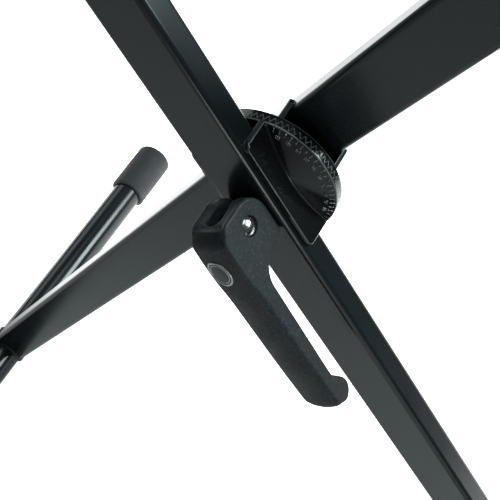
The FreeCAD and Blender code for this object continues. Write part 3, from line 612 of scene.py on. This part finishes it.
@finish("black_felt", Roughness=1.0)
def black_felt(surface, _colours):
    """Black felt on a card beside the stand: dull and even, there to keep light off."""
    surface.tone(surface.noise(2), linear("#101010"), linear("#1c1c1c"))


FINISHES = {"powder_coat": gloss_powder_coat, "disc_enamel": cast_enamel,
            "rubber": moulded_rubber, "plated_steel": zinc_plate,
            "spring_steel": spring_steel, "lever_plastic": grained_nylon}


# ---- toothed discs

def cone_height(side, radius):
    """Height of a disc's back at a radius: the rim's back, and the cone's slope inwards."""
    return RIM_BACK[side] + (DISC_RADIUS - radius) * CONE_SLOPE


def toothed_plate(side, sizes):
    """Turned plate with face teeth. The profile goes round in columns, ten to a tooth. In
    the ring of teeth its height gets a trapezoid wave of the bearing times radius / rim
    radius, so that flanks, tips and roots point at the centre of the mesh."""
    bearing = np.array([-0.085, -0.04, 0.04, 0.085, 0.25, 0.415, 0.46, 0.54, 0.585, 0.75])
    level = np.array([0.88, 1.0, 1.0, 0.88, 0.0, -0.88, -1.0, -1.0, -0.88, 0.0])
    count = sizes.tooth_count
    first = LEG_SLOPE + (pi / count if side == REAR else 0.0)
    angle = first + 2 * pi / count * (np.arange(count)[:, None] + bearing).ravel()
    wave = np.tile(level, count)
    half, clearance = sizes.tooth_height / MM / 2, 0.1
    wave = np.where(wave > 0, half, half + clearance) * wave

    bore, pocket, recess, backlash = 4.2, 7.5, 1.3, 0.07
    floor, seat, back = POCKET_FLOOR[side], SEAT[side], RIM_BACK[side]
    crest_radius = DISC_RADIUS - (CREST - back) / CONE_SLOPE
    root = half + clearance + 0.45
    face = [(bore, floor, 0), (pocket - 0.1, floor, 0), (pocket, floor - 0.1, 0),
            (pocket, recess + 0.4, 0), (pocket + 0.4, recess, 0),
            (TOOTH_RING_INNER - 0.1, recess, 0), (TOOTH_RING_INNER, backlash, 1)]
    teeth = [(radius, backlash, 1) for radius in (29, 31, 33, 34.5, 34.85)]
    rim = [(34.96, 0.18, 1), (DISC_RADIUS, 0.38, 1), (DISC_RADIUS, root, 0),
           (DISC_RADIUS, back - 0.4, 0), (34.88, back - 0.12, 0)]
    cone = [(radius, cone_height(side, radius), 0)
            for radius in np.arange(34.6, crest_radius, -0.9)]
    crest = [(crest_radius, CREST, 0), ((crest_radius + bore) / 2, CREST, 0),
             (bore, CREST, 0), (bore, (CREST + floor) / 2, 0)]
    radius, height, toothed = np.array(face + teeth + rim + cone + crest).T[:, :, None]
    u, c = radius * np.cos(angle), radius * np.sin(angle)
    out = height + toothed * wave * radius / DISC_RADIUS
    middle_of_cheek = (CHEEK_INNER + CHEEK_OUTER) / 2
    out = np.where(np.abs(c) < middle_of_cheek, np.minimum(out, seat), out)
    return skin(grid(u, c, out), closed_rows=True)


def saddle_wall(side, hand, sizes):
    """Wall of the saddle beside the leg: a slab with softened edges, sunk a little in the
    cone. Its ends are carried on to the disc's rim, where u is the root of radius squared
    minus c squared."""
    sunk, inside_rim = 0.3, 0.02
    end = (DISC_RADIUS ** 2 - CHEEK_INNER ** 2) ** 0.5
    corner = sizes.cheek_corner / MM
    outline = softened([(-end, RIM_BACK[side] - sunk), (end, RIM_BACK[side] - sunk),
                        (end, CHEEK_REACH[side]), (-end, CHEEK_REACH[side])],
                       [0, 0, corner, corner], steps=8)
    points, quads, fills = slab(outline, CHEEK_INNER, CHEEK_OUTER, sizes.cheek_edge / MM)
    u, out, c = points.T
    u = u * np.sqrt((DISC_RADIUS - inside_rim) ** 2 - c ** 2) / end
    return grid(u, hand * c, out), quads, fills


def hollow_fillet(side, hand, sizes):
    """Fillet where a saddle wall meets the cone. The centre of its section is one radius
    from the wall and from the cone, and the section's arc turns from one to the other."""
    hollow, buried, inside_rim = sizes.fillet / MM, 0.9, 0.3
    slope = np.arctan(CONE_SLOPE)
    c = CHEEK_OUTER + hollow
    u = np.linspace(-1, 1, 90) * ((DISC_RADIUS - inside_rim) ** 2 - c ** 2) ** 0.5
    radius = np.sqrt(u ** 2 + c ** 2)
    centre = grid(u, c, cone_height(side, radius) + hollow / cos(slope))
    to_wall = np.broadcast_to([0.0, -1.0, 0.0], centre.shape)
    to_cone = -grid(sin(slope) * u / radius, sin(slope) * c / radius, cos(slope))
    angle = np.arccos((to_wall * to_cone).sum(1))[:, None, None]
    section = centre[:, None] + hollow * swung(to_wall[:, None], to_cone[:, None], angle,
                                               np.linspace(0, 1, 7)[:, None])
    corner = section[:, 3:4] + np.array([0.0, -buried, -buried])
    points = np.concatenate([section, corner], 1)
    points[..., 1] *= hand
    return skin(points)


def raised_strokes(side, inner, outer, bearings, sizes):
    """Cast marks: small hipped bars on the cone, each along its own bearing from one
    radius to another, and none where the saddle stands. Eight points a bar, four sunk in
    the cone and four on top."""
    hip, top_share, sunk, clear_of_saddle = 0.2, 0.45, 0.1, CHEEK_OUTER + 1.2
    bearings = np.asarray(bearings, float)
    bearings = bearings[np.abs(inner * np.sin(bearings)) > clear_of_saddle]
    half, tall = sizes.mark_width / MM / 2, sizes.mark_height / MM
    radius = np.array([inner, outer, outer, inner,
                       inner + hip, outer - hip, outer - hip, inner + hip])
    aside = half * np.array([-1, -1, 1, 1, -top_share, -top_share, top_share, top_share])
    lift = np.array([-sunk] * 4 + [tall] * 4)
    cosine, sine = np.cos(bearings)[:, None], np.sin(bearings)[:, None]
    points = grid(radius * cosine - aside * sine, radius * sine + aside * cosine,
                  cone_height(side, radius) + lift)
    quads = np.array([[0, 1, 5, 4], [1, 2, 6, 5], [2, 3, 7, 6], [3, 0, 4, 7],
                      [4, 5, 6, 7], [3, 2, 1, 0]])
    quads = (quads + 8 * np.arange(len(bearings))[:, None, None]).reshape(-1, 4)
    return points.reshape(-1, 3), quads, []


def disc_marks(side, sizes):
    """Ring of scale marks on a disc's cone: a long stroke at each tooth, and inside the
    ring a group of three short dashes at every other tooth."""
    dash_apart = 1.6
    step = 2 * pi / sizes.tooth_count
    teeth = LEG_SLOPE + step * np.arange(sizes.tooth_count)
    groups = teeth[::2, None] + np.radians([-dash_apart, 0.0, dash_apart])
    return [raised_strokes(side, 31.9, 34.2, teeth, sizes),
            raised_strokes(side, 29.6, 31.3, groups.ravel(), sizes)]


# ---- cam lever

def lever_outline():
    """Side view of the lever round its pin, along the leg and out from it. The cam is an
    involute: its reach falls evenly by the cam's lift over the quarter turn, and it bears
    at reach x (-sin t, -cos t) + fall x (cos t, -sin t). The outer face is a long arc that
    touches the head's corner and the round end."""
    t = np.radians(np.linspace(90, 0, 26))
    fall = CAM_LIFT / (pi / 2)
    reach = CAM_REACH - fall * t
    cam = grid(fall * np.cos(t) - reach * np.sin(t), -reach * np.cos(t) - fall * np.sin(t))
    head, end = np.array([-2.44, 8.2]), np.array([102.0, 12.0])
    end_radius, face_radius = 7.8, 1250.0
    to_head, to_end = face_radius - HEAD_RADIUS, face_radius - end_radius
    apart = np.linalg.norm(end - head)
    along = (end - head) / apart
    share = (to_head ** 2 - to_end ** 2 + apart ** 2) / (2 * apart)
    middle = head + share * along + np.sqrt(to_head ** 2 - share ** 2) * np.array(
        [along[1], -along[0]])
    bearing = [np.degrees(np.arctan2(*(point - middle)[::-1])) for point in (end, head)]
    return np.vstack([
        cam, arc((13.2, -10.44), 3.5, -90, 0, 8), [(17.1, -7.6)],
        arc((31.0, -6.4), 13.5, 167, 92.5, 24), arc((90.04, 1.68), 8, 92.5, 40.8, 12),
        arc(end, end_radius, -139.2, bearing[0], 34), arc(middle, face_radius, *bearing, 40),
        arc(head, HEAD_RADIUS, bearing[1], 180, 24)])


def runs(path):
    """Distance along a path from its first point to each point."""
    return np.concatenate([[0], np.cumsum(np.linalg.norm(np.diff(path, axis=0), axis=1))])


def along_path(path, run, at):
    """Points of a path at distances along it."""
    return grid(np.interp(at, run, path[:, 0]), np.interp(at, run, path[:, 1]))


def lever_body(sizes):
    """Lever as rows across its width and columns round its outline.

    Each point starts on the outline and moves in along the outline's normal by the sum of
    crown x (c / half width) squared, the quarter-round of the edge, the hollow round the
    slot and the lip of the slot, less the rise of the outer face. Between the slot's walls
    the columns over the mouth go along the slot's own path: in at its end, round the room
    for the bolt's eye, and out at the heel."""
    half, slot, eye_room, slot_end = LEVER_HALF_WIDTH, SLOT_HALF_WIDTH, 7.3, 6.3
    outline = lever_outline()
    closed = np.vstack([outline, outline[:1]])
    run = runs(closed)
    total = run[-1]
    arch = total - 7.89                       # the slot's end, on the lever's back
    heel = 25.6                               # the slot's mouth, on the heel
    head_line = arch - 9.5                    # where the columns run straight again
    lip = sizes.slot_lip / MM

    edge_rows = np.linspace(0, pi / 2, 7)
    inner_rows = np.array([0.0, 1.4, 2.5, 3.2, 3.7, 3.93])
    lip_rows = slot + lip * np.array([0.0, 0.06, 0.2, 0.45, 1.0])
    core = np.concatenate([inner_rows, lip_rows, [5.6, 6.6, 7.6]])
    row_c = np.concatenate([core, np.full(len(edge_rows) + 2, 8.0)])
    turn = np.concatenate([0 * core, [0], edge_rows, [pi / 2]])[:, None]
    is_edge = (np.arange(len(row_c)) >= len(core))[:, None]
    is_rim = (np.arange(len(row_c)) == len(row_c) - 1)[:, None]

    def every_row(columns):
        return np.broadcast_to(columns, (len(row_c), len(columns)))

    beyond = np.array([0.0, 0.1, 0.25, 0.5, 1.0]) * lip
    reach = np.sqrt(np.maximum((slot + beyond) ** 2 - row_c[:, None] ** 2, 0))
    near = arch - reach - 0.04 * np.arange(len(beyond))
    head = near[:, -1:] + (head_line - near[:, -1:]) * np.linspace(0, 1, 14)[1:-1]
    outer = np.concatenate([
        np.linspace(head_line, head_line - 10, 20), np.linspace(head_line - 11, 62, 150),
        np.linspace(61.4, heel, 58)])
    mouth = np.linspace(arch, total + heel, 62)[1:-1]
    around = np.concatenate([near, head, every_row(outer)], 1)[:, ::-1]
    stations = np.concatenate([around, every_row(mouth)], 1)

    def on_outline(shift):
        return along_path(closed, run, np.mod(stations + shift, total))

    place, tangent = on_outline(0.0), on_outline(0.25) - on_outline(-0.25)
    tangent /= np.linalg.norm(tangent, axis=-1, keepdims=True)
    inward = grid(-tangent[..., 1], tangent[..., 0])
    u, v = place[..., 0], place[..., 1]
    outer_face, grip = eased(v, 10.5, 15.0), eased(u, 10, 34)
    under = eased(v, -9, 4) * (1 - outer_face) * eased(u, 10, 24)
    edge = (sizes.head_edge + (sizes.grip_edge - sizes.head_edge) * grip * outer_face) / MM
    c = np.where(is_edge, half - edge * (1 - np.sin(turn)), row_c[:, None])
    crown_share, under_crown = 0.65 + 0.6 * grip, 0.3
    crown = sizes.crown / MM * outer_face * crown_share + under_crown * under
    head_rise, grip_rise, past_edge = 1.4, 0.7, 0.15
    rise = head_rise + (grip_rise - head_rise) * eased(u, 0, 62)
    rise = rise * outer_face * eased(u, -11, -3)
    inset = crown * (c / half) ** 2 - rise + edge * (1 - np.cos(turn)) * is_edge
    inset = inset + past_edge * edge * is_rim

    from_arch, back, crest_height = arch - stations, eased(-u, 1, 4), 0.3
    ridge = 1.9 + HEAD_RADIUS * radians(36)   # from the slot's end, up on the head's corner
    hollow = (1 - eased(from_arch, ridge - 2.6, ridge)) * eased(v, -4, 1) * back
    crest = np.exp(-((from_arch - ridge - 0.3) / 1.1) ** 2) * back
    flat = 1 - eased(np.abs(c), 7.4, 9.6)
    inset += sizes.dish / MM * hollow * flat - crest_height * crest
    gap = np.sqrt(np.maximum(from_arch, 0) ** 2 + c ** 2) - slot
    gap = np.where(u > 0, np.maximum(gap, u - eye_room), gap)
    no_slot = (v > 0) & (u > 0)
    ramp = np.where(no_slot, 0, np.clip(1 - gap / lip, 0, 1))
    inset += lip * (1 - np.sqrt(1 - ramp ** 2))
    place = place + inward * inset[..., None]

    share = np.linspace(0, 1, len(mouth) + 2)[1:-1]
    for row in np.flatnonzero(row_c < slot - 0.01):
        end = slot_end + np.sqrt(slot ** 2 - row_c[row] ** 2)
        wall = np.vstack([(-10.6, end), (-0.2, max(end, eye_room)),
                          arc((0, 0), eye_room, 88, 0, 16), (eye_room, -0.5),
                          (eye_room, -CAM_REACH)])
        run = runs(wall)
        place[row, around.shape[1]:] = along_path(wall, run, share * run[-1])
    right = grid(place[..., 0], place[..., 1], c)
    left = right[:0:-1] * (1, 1, -1)
    return skin(np.concatenate([left, right]))


def with_recess(shell, centre_radius, depth):
    """Replaces the two flat sides of a shell by sides with a round recess about the pin:
    a chamfered ring, a wall and a floor."""
    points, quads, fills = shell
    parts, new_quads, new_fills = [points], [quads], []
    chamfer, segments = 0.25, 56
    start = len(points)
    for fill in fills:
        side, level = np.sign(points[fill[0], 2]), abs(points[fill[0], 2])
        rings = turned([(centre_radius + chamfer, side * level),
                        (centre_radius, side * (level - chamfer)),
                        (centre_radius, side * (level - depth))], segments).reshape(-1, 3)
        index = start + np.arange(len(rings)).reshape(-1, segments)
        corners = np.concatenate([fill, index[0]])
        triangles = tessellate_polygon([
            [Vector((u, v, 0)) for u, v in loop[:, :2].tolist()]
            for loop in (points[fill], rings[:segments])])
        new_quads.append(quads_over(index))
        new_fills += [corners[list(triangle)] for triangle in triangles] + [index[-1]]
        parts.append(rings)
        start += len(rings)
    return np.vstack(parts), np.vstack(new_quads), new_fills


def badge_surface(u, c, crown):
    """Outer face of the lever under the badge: the arc's rise along it, less the crown."""
    at_pin, slope, crown_share = 18.78, 0.045, 0.65
    return at_pin + slope * u - crown_share * crown * (c / LEVER_HALF_WIDTH) ** 2


def badge_shell(profile, sizes):
    """Oval turned shape: at each share of the oval's half lengths and each height above
    the lever's face, the point is centre + share x (a cos t, b sin t)."""
    centre_u, centre_c = 10.2, -2.0
    t = full_turn(72)
    share, height = np.asarray(profile, float).T[:, :, None]
    u = centre_u + share * sizes.badge_length / MM / 2 * np.cos(t)
    c = centre_c + share * sizes.badge_width / MM / 2 * np.sin(t)
    return grid(u, c, badge_surface(u, c, sizes.crown / MM) + height)


# ---- bolt, nut and pin

def bolt_shank(sizes):
    """Shank of the draw bolt, turned. Its front has two flats, where c stops, and its end
    has a thread: radius less depth x a triangle wave of height / pitch - t / 2 pi."""
    shank, flat, flats_from, tip = 4.0, 3.45, 19.0, 35.1
    pitch, depth = sizes.thread_pitch / MM, sizes.thread_depth / MM
    height = np.concatenate([[31.0, 19.2, 18.9, 0.0, -21.0],
                             np.arange(-21.1, -35.9, -0.105)])[:, None]
    angle = full_turn(40)
    phase = np.mod(height / pitch - angle / (2 * pi), 1)
    cut = depth * np.abs(2 * phase - 1) * eased(-height, 21.0, 22.0)
    radius = np.minimum(shank - cut, shank - np.maximum(-height - tip, 0))
    u, c = radius * np.cos(angle), radius * np.sin(angle)
    c = np.where(height > flats_from, np.clip(c, -flat, flat), c)
    return skin(grid(u, c, height))


def nut_body():
    """Hexagon nut: at each height the radius is half the width / cos t within a flat, but
    no more than a cone of 30 degrees allows near the ends, which draws the curved bevels.
    A collar follows, and the bore closes it."""
    half_width, tall, end_radius = 6.5, 6.5, 6.2
    t = radians(30) * np.sin(np.linspace(-pi / 2, pi / 2, 14, endpoint=False))
    angle = (np.arange(6)[:, None] * pi / 3 + t).ravel()
    flats = half_width / np.cos(np.tile(t, 6))
    height = np.array([0, 0.2, 0.5, 0.9, 1.4, 3.2, 5.1, 5.6, 6.0, 6.3, tall])
    depth = np.minimum(height, tall - height)[:, None]
    body = np.minimum(flats, end_radius + depth * 1.73)
    tail = np.array([(5.7, 6.5), (5.7, 7.6), (5.35, 7.95), (5.0, 7.7), (4.02, 7.6),
                     (4.02, 4.0), (4.02, 0.3), (4.4, 0.0)])
    radius = np.concatenate([body, tail[:, :1] + 0 * angle])
    level = np.concatenate([height, tail[:, 1]])[:, None]
    return skin(on_lathe(radius, angle, level), closed_rows=True)


# ---- caps, grips and welds

def cap_profile(sizes):
    """Half section of an end cap, from the middle of its end, round the outside and the
    bevelled mouth, and back up the bore to the middle of its floor."""
    outer, end, dimple, floor, middle = DISC_RADIUS / 2 - 0.01, 54.0, 53.6, 49.0, 0.02
    rounding, lip = sizes.cap_rounding / MM, sizes.cap_lip / MM
    return softened([(middle, dimple), (8.0, dimple), (8.6, end), (outer, end),
                     (outer, 0.0), (SLEEVE_BORE, 0.0), (SLEEVE_BORE, floor), (middle, floor)],
                    [0, 0.3, 0.3, rounding, lip, 0.5, 0.4, 0], steps=6, closed=False)


def grip_profile(sizes):
    """Half section of a ribbed grip. Its radius is the ribs' less the groove depth times a
    flat-bottomed pulse with soft shoulders at every rib pitch."""
    long, rib_radius = 78.0, 17.98
    pitch, depth = sizes.rib_pitch / MM, sizes.groove_depth / MM
    height = np.linspace(0.9, long - 0.9, 230)
    off = np.abs(np.mod(height - pitch / 2, pitch) - pitch / 2)
    radius = rib_radius - depth * (1 - eased(off, 0.75, 1.45))
    ends = [(17.7, 0.25), (17.1, 0.0), (SLEEVE_BORE + 0.3, 0.0), (SLEEVE_BORE, 0.3)]
    return np.vstack([ends[::-1], grid(radius, height), [(r, long - h) for r, h in ends]])


def weld_path(end, ripple):
    """Seam between a leg's end and its tube, in the leg's own frame. Over each flat of the
    leg it follows the tube, at end - root of (tube radius squared - c squared), and it
    crosses the leg's edges on straight runs. Returns the path and the bead's ripple."""
    way, leg_depth, sunk, corner = np.sign(end), 15.0, 0.1, 0.8
    c = np.linspace(-13.3, 13.3, 60)
    u = end - way * np.sqrt(TUBE_RADIUS ** 2 - c ** 2)
    inner, outer = SEAT[FRONT], SEAT[FRONT] + leg_depth
    near, far = grid(u, c, inner + sunk), grid(u, c, outer - sunk)[::-1]
    over = grid(end - way * 4.2, 14.7, np.linspace(inner + corner, outer - corner, 30))
    path = np.vstack([near, over, far, over[::-1] * (1, -1, 1)])
    run = np.cumsum(np.linalg.norm(np.diff(path, axis=0, prepend=path[-1:]), axis=1))
    return path, np.cos(2 * pi * run / ripple)


def fit_on_tubes(kinds, shell, rubber):
    """Slips one rubber shell on both ends of the tubes of both frames, in place of the
    parts of these kinds, from where each part starts."""
    for name in SIDES:
        for kind, start in kinds:
            for hand, way in (("near", -1), ("far", 1)):
                node = f"{name}_{kind}_{hand}"
                piece(f"{node}_moulding", f"{name}_frame", rubber, [shell],
                      tube_place(node, way * start, way), [node])


def sheet(scene, name, corners, material):
    """Flat sheet of the studio, through four corners."""
    mesh = bpy.data.meshes.new(name)
    mesh.from_pydata(corners, [], [(0, 1, 2, 3)])
    mesh.materials.append(material)
    made = bpy.data.objects.new(name, mesh)
    scene.collection.objects.link(made)
    return made


# ---- operators

class STAND_OT_frame_finishes(bpy.types.Operator):
    """Powder-coats the legs and tubes, and finishes the packed parts that keep their shape"""
    bl_idname = "stand.frame_finishes"
    bl_label = "Legs and tubes"

    def execute(self, context):
        colours = context.scene.stand_colours
        for node in frame["nodes"].values():
            slot = node.data.materials[0].name.split(".")[0]
            node.data.materials[0] = FINISHES[slot](colours)
        return {"FINISHED"}


class STAND_OT_toothed_discs(bpy.types.Operator):
    """Casts the two toothed discs with their saddle walls, fillets and scale marks"""
    bl_idname = "stand.toothed_discs"
    bl_label = "Toothed discs"

    def execute(self, context):
        sizes, colours = context.scene.stand_hub, context.scene.stand_colours
        for name, side in SIDES.items():
            shells = [toothed_plate(side, sizes)]
            for hand in (-1, 1):
                shells += [saddle_wall(side, hand, sizes), hollow_fillet(side, hand, sizes)]
            piece(f"{name}_disc_casting", f"{name}_frame",
                  cast_enamel(colours), shells, leg_place(side), [f"{name}_toothed_disc"])
            piece(f"{name}_disc_marks", f"{name}_frame",
                  painted_glint_marks(colours), disc_marks(side, sizes), leg_place(side))
        return {"FINISHED"}


class STAND_OT_cam_lever(bpy.types.Operator):
    """Moulds the cam lever with its crowned grip, hollowed head, slot and pin recesses"""
    bl_idname = "stand.cam_lever"
    bl_label = "Cam lever"

    def execute(self, context):
        recess_radius, recess_depth = 4.9, 1.65
        shell = with_recess(lever_body(context.scene.stand_lever), recess_radius,
                            recess_depth)
        piece("lever_moulding", "lever_group",
              grained_nylon(context.scene.stand_colours), [shell],
              leg_place(FRONT, PIN_OUT, order=(0, 2, 1)), ["clamp_lever"], crease=50)
        return {"FINISHED"}


class STAND_OT_lever_badge(bpy.types.Operator):
    """Presses the plain oval badge into the lever: a bright rim round a dark field"""
    bl_idname = "stand.lever_badge"
    bl_label = "Badge"

    def execute(self, context):
        sizes, colours = context.scene.stand_lever, context.scene.stand_colours
        place = leg_place(FRONT, PIN_OUT)
        rim = [(1.0, -0.8), (1.0, 0.25), (0.985, 0.42), (0.95, 0.55), (0.91, 0.55),
               (0.87, 0.42), (0.85, 0.25), (0.84, -0.8)]
        line = [(0.76, -0.4), (0.76, 0.3), (0.745, 0.38), (0.71, 0.38), (0.695, 0.3),
                (0.69, -0.4)]
        field = [(0.01, -0.9), (0.86, -0.9), (0.86, 0.12), (0.8, 0.2), (0.5, 0.3),
                 (0.2, 0.34), (0.01, 0.35)]
        rings = [skin(badge_shell(profile, sizes), closed_rows=True)
                 for profile in (rim, line)]
        piece("badge_rim", "lever_group", nickel_rim(colours), rings, place,
              crease=60)
        piece("badge_field", "lever_group", badge_lacquer(colours),
              [skin(badge_shell(field, sizes))], place, crease=60)
        return {"FINISHED"}


class STAND_OT_lever_pin(bpy.types.Operator):
    """Turns the lever's pin with a low bright dome on each head"""
    bl_idname = "stand.lever_pin"
    bl_label = "Lever pin"

    def execute(self, context):
        top, dome_radius = 11.1, 7.2
        radius = np.linspace(0.02, 4.2, 10)
        height = top - dome_radius + np.sqrt(dome_radius ** 2 - radius ** 2)
        head = [*zip(radius, height), (4.33, 9.6), (4.2, 9.4), (3.0, 9.4)]
        profile = head + [(r, -h) for r, h in head[::-1]]
        piece("lever_pin_turned", "lever_group",
              zinc_plate(context.scene.stand_colours), [skin(turned(profile, 64))],
              leg_place(FRONT, PIN_OUT, order=(0, 2, 1)), ["lever_pin"])
        return {"FINISHED"}


class STAND_OT_draw_bolt(bpy.types.Operator):
    """Forges the draw bolt: a flat eye round the lever's pin, and a threaded shank"""
    bl_idname = "stand.draw_bolt"
    bl_label = "Draw bolt"

    def execute(self, context):
        eye_radius, eye_half, eye_edge = 6.5, 3.5, 0.9
        points, *faces = slab(arc((0, PIN_OUT), eye_radius, 0, 354, 60), -eye_half,
                              eye_half, eye_edge)
        piece("draw_bolt_forged", "bolt_group",
              bolt_painted_shade(context.scene.stand_colours),
              [(points[:, [0, 2, 1]], *faces), bolt_shank(context.scene.stand_fixings)],
              leg_place(FRONT), ["draw_bolt"])
        return {"FINISHED"}


class STAND_OT_lock_nut(bpy.types.Operator):
    """Makes the lock nut, its milky nylon ring and the washer behind the rear leg"""
    bl_idname = "stand.lock_nut"
    bl_label = "Lock nut and washer"

    def execute(self, context):
        colours = context.scene.stand_colours
        zinc = zinc_plate(colours)
        ring = [(5.0, 7.66), (4.85, 7.86), (4.3, 7.86), (4.05, 7.66), (4.05, 6.2),
                (5.0, 6.2)]
        washer = softened([(4.3, 0), (10, 0), (10, 1.6), (4.3, 1.6)], [0.2, 0.3, 0.3, 0.2], 3)
        piece("lock_nut_body", "bolt_group", zinc, [nut_body()],
              leg_place(REAR, NUT_OUT), ["lock_nut"])
        piece("lock_nut_ring", "bolt_group", clear_nylon(colours),
              [skin(turned(ring, 48), closed_rows=True)], leg_place(REAR, NUT_OUT))
        piece("rear_washer_stamped", "bolt_group", zinc,
              [skin(turned(washer, 72), closed_rows=True)], leg_place(REAR, WASHER_OUT),
              ["rear_washer"])
        return {"FINISHED"}


class STAND_OT_end_caps(bpy.types.Operator):
    """Moulds the eight rubber end caps of the foot and arm tubes"""
    bl_idname = "stand.end_caps"
    bl_label = "End caps"

    def execute(self, context):
        shell = skin(turned(cap_profile(context.scene.stand_rubber)))
        fit_on_tubes((("foot_cap", FOOT_CAP_MOUTH), ("arm_cap", ARM_CAP_MOUTH)), shell,
                     moulded_rubber(context.scene.stand_colours))
        return {"FINISHED"}


class STAND_OT_grips(bpy.types.Operator):
    """Moulds the four ribbed rubber grips that the keyboard lies on"""
    bl_idname = "stand.grips"
    bl_label = "Ribbed grips"

    def execute(self, context):
        shell = skin(turned(grip_profile(context.scene.stand_rubber), 64), closed_rows=True)
        fit_on_tubes((("arm_grip", GRIP_START),), shell,
                     moulded_rubber(context.scene.stand_colours))
        return {"FINISHED"}


class STAND_OT_weld_beads(bpy.types.Operator):
    """Lays the rippled weld beads where each leg meets its foot and arm tube"""
    bl_idname = "stand.weld_beads"
    bl_label = "Weld beads"

    def execute(self, context):
        sizes, ripple_height = context.scene.stand_fixings, 0.14
        coat = gloss_powder_coat(context.scene.stand_colours)
        for name, side in SIDES.items():
            shift = SEAT[side] - SEAT[FRONT]
            for end, reach in (("foot", FOOT_REACH), ("arm", -ARM_REACH)):
                path, ripple = weld_path(reach, sizes.weld_ripple / MM)
                bead = tube_along(path, sizes.weld_bead / MM + ripple_height * ripple)
                piece(f"{name}_{end}_weld", f"{name}_frame", coat, [bead],
                      leg_place(side, shift), crease=60)
        return {"FINISHED"}


class STAND_OT_studio(bpy.types.Operator):
    """Lays the paper, hangs the softboxes and sets the camera"""
    bl_idname = "stand.studio"
    bl_label = "Studio"

    def execute(self, context):
        scene, light = context.scene, context.scene.stand_light
        half, under, card_top = 6.0, -0.0005, 0.34
        sheet(scene, "paper_floor", [(-half, -half, under), (half, -half, under),
                                     (half, half, under), (-half, half, under)],
              seamless_paper(light))
        near, far = (0.62, -0.25), (0.78, 1.15)
        card = sheet(scene, "black_card", [(*near, 0), (*far, 0), (*far, card_top),
                                           (*near, card_top)], black_felt())
        card.visible_camera = False

        world, seen_air = bpy.data.worlds.new("studio_air"), 0.93
        world.use_nodes = True
        air = world.node_tree.nodes["Background"]
        air.inputs["Color"].default_value = linear("#f4f5f6")
        seen = add(world.node_tree, "ShaderNodeLightPath").outputs["Is Camera Ray"]
        strength = add(world.node_tree, "ShaderNodeMapRange",
                       {"To Min": light.air, "To Max": seen_air}, {"Value": seen})
        world.node_tree.links.new(strength.outputs[0], air.inputs["Strength"])
        scene.world = world

        for name, location, size, watts in (
                ("softbox_key", (1.45, 0.95, 1.4), (0.9, 0.9), light.key_box),
                ("softbox_back", (-1.3, 0.8, 0.8), (0.7, 0.7), light.back_box),
                ("softbox_low", (0.62, -0.95, 0.2), (0.3, 0.2), light.low_box),
                ("softbox_over", (0.1, 0.25, 1.9), (1.3, 1.0), light.top_box)):
            lamp = bpy.data.lights.new(name, "AREA")
            lamp.shape = "RECTANGLE"
            lamp.size, lamp.size_y = size
            lamp.energy = watts
            lamp.color = linear("#f0feff")[:3]
            softbox = bpy.data.objects.new(name, lamp)
            softbox.location = location
            aim = Vector(PIVOT - np.array(location))
            softbox.rotation_euler = aim.to_track_quat("-Z", "Y").to_euler()
            scene.collection.objects.link(softbox)

        down, turn, roll = radians(54.923), radians(28.484), radians(-0.503)
        camera = bpy.data.cameras.new("camera")
        camera.sensor_width = 36
        camera.lens = 68.48
        view = bpy.data.objects.new("camera", camera)
        aim = Euler((pi / 2 - down, 0, turn)).to_matrix()
        view.rotation_euler = (aim @ Euler((0, 0, roll)).to_matrix()).to_euler()
        view.location = (0.12556, -0.25142, 0.76424)
        scene.collection.objects.link(view)
        scene.camera = view
        scene.view_settings.view_transform = "Standard"
        return {"FINISHED"}


class STAND_PT_sidebar(bpy.types.Panel):
    """Lists the stand's sizes, colours and pieces"""
    bl_idname = "STAND_PT_sidebar"
    bl_label = "Folding keyboard stand"
    bl_space_type = "VIEW_3D"
    bl_region_type = "UI"
    bl_category = "Stand"

    def draw(self, context):
        for name, _ in SETTINGS:
            box = self.layout.box()
            group = getattr(context.scene, name)
            for key in group.bl_rna.properties.keys():
                if key not in {"rna_type", "name"}:
                    box.prop(group, key)
        for operator in OPERATORS:
            self.layout.operator(operator.bl_idname)


SETTINGS = (("stand_hub", HubSizes), ("stand_lever", LeverSizes),
            ("stand_rubber", RubberSizes), ("stand_fixings", FixingSizes),
            ("stand_colours", StandColours), ("stand_light", StudioLight))
OPERATORS = (STAND_OT_frame_finishes, STAND_OT_toothed_discs, STAND_OT_cam_lever,
             STAND_OT_lever_badge, STAND_OT_lever_pin, STAND_OT_draw_bolt,
             STAND_OT_lock_nut, STAND_OT_end_caps, STAND_OT_grips, STAND_OT_weld_beads,
             STAND_OT_studio)
CLASSES = (*(group for _, group in SETTINGS), *OPERATORS, STAND_PT_sidebar)


def register():
    for kind in CLASSES:
        bpy.utils.register_class(kind)
    for name, group in SETTINGS:
        setattr(bpy.types.Scene, name, PointerProperty(type=group))


def unregister():
    for name, _ in SETTINGS:
        delattr(bpy.types.Scene, name)
    for kind in reversed(CLASSES):
        bpy.utils.unregister_class(kind)


def main():
    """Registers the tools, makes every piece and the studio, and notes the two sizes."""
    register()
    for operator in OPERATORS:
        group, name = operator.bl_idname.split(".")
        getattr(getattr(bpy.ops, group), name)()


if __name__ == "__main__":
    main()
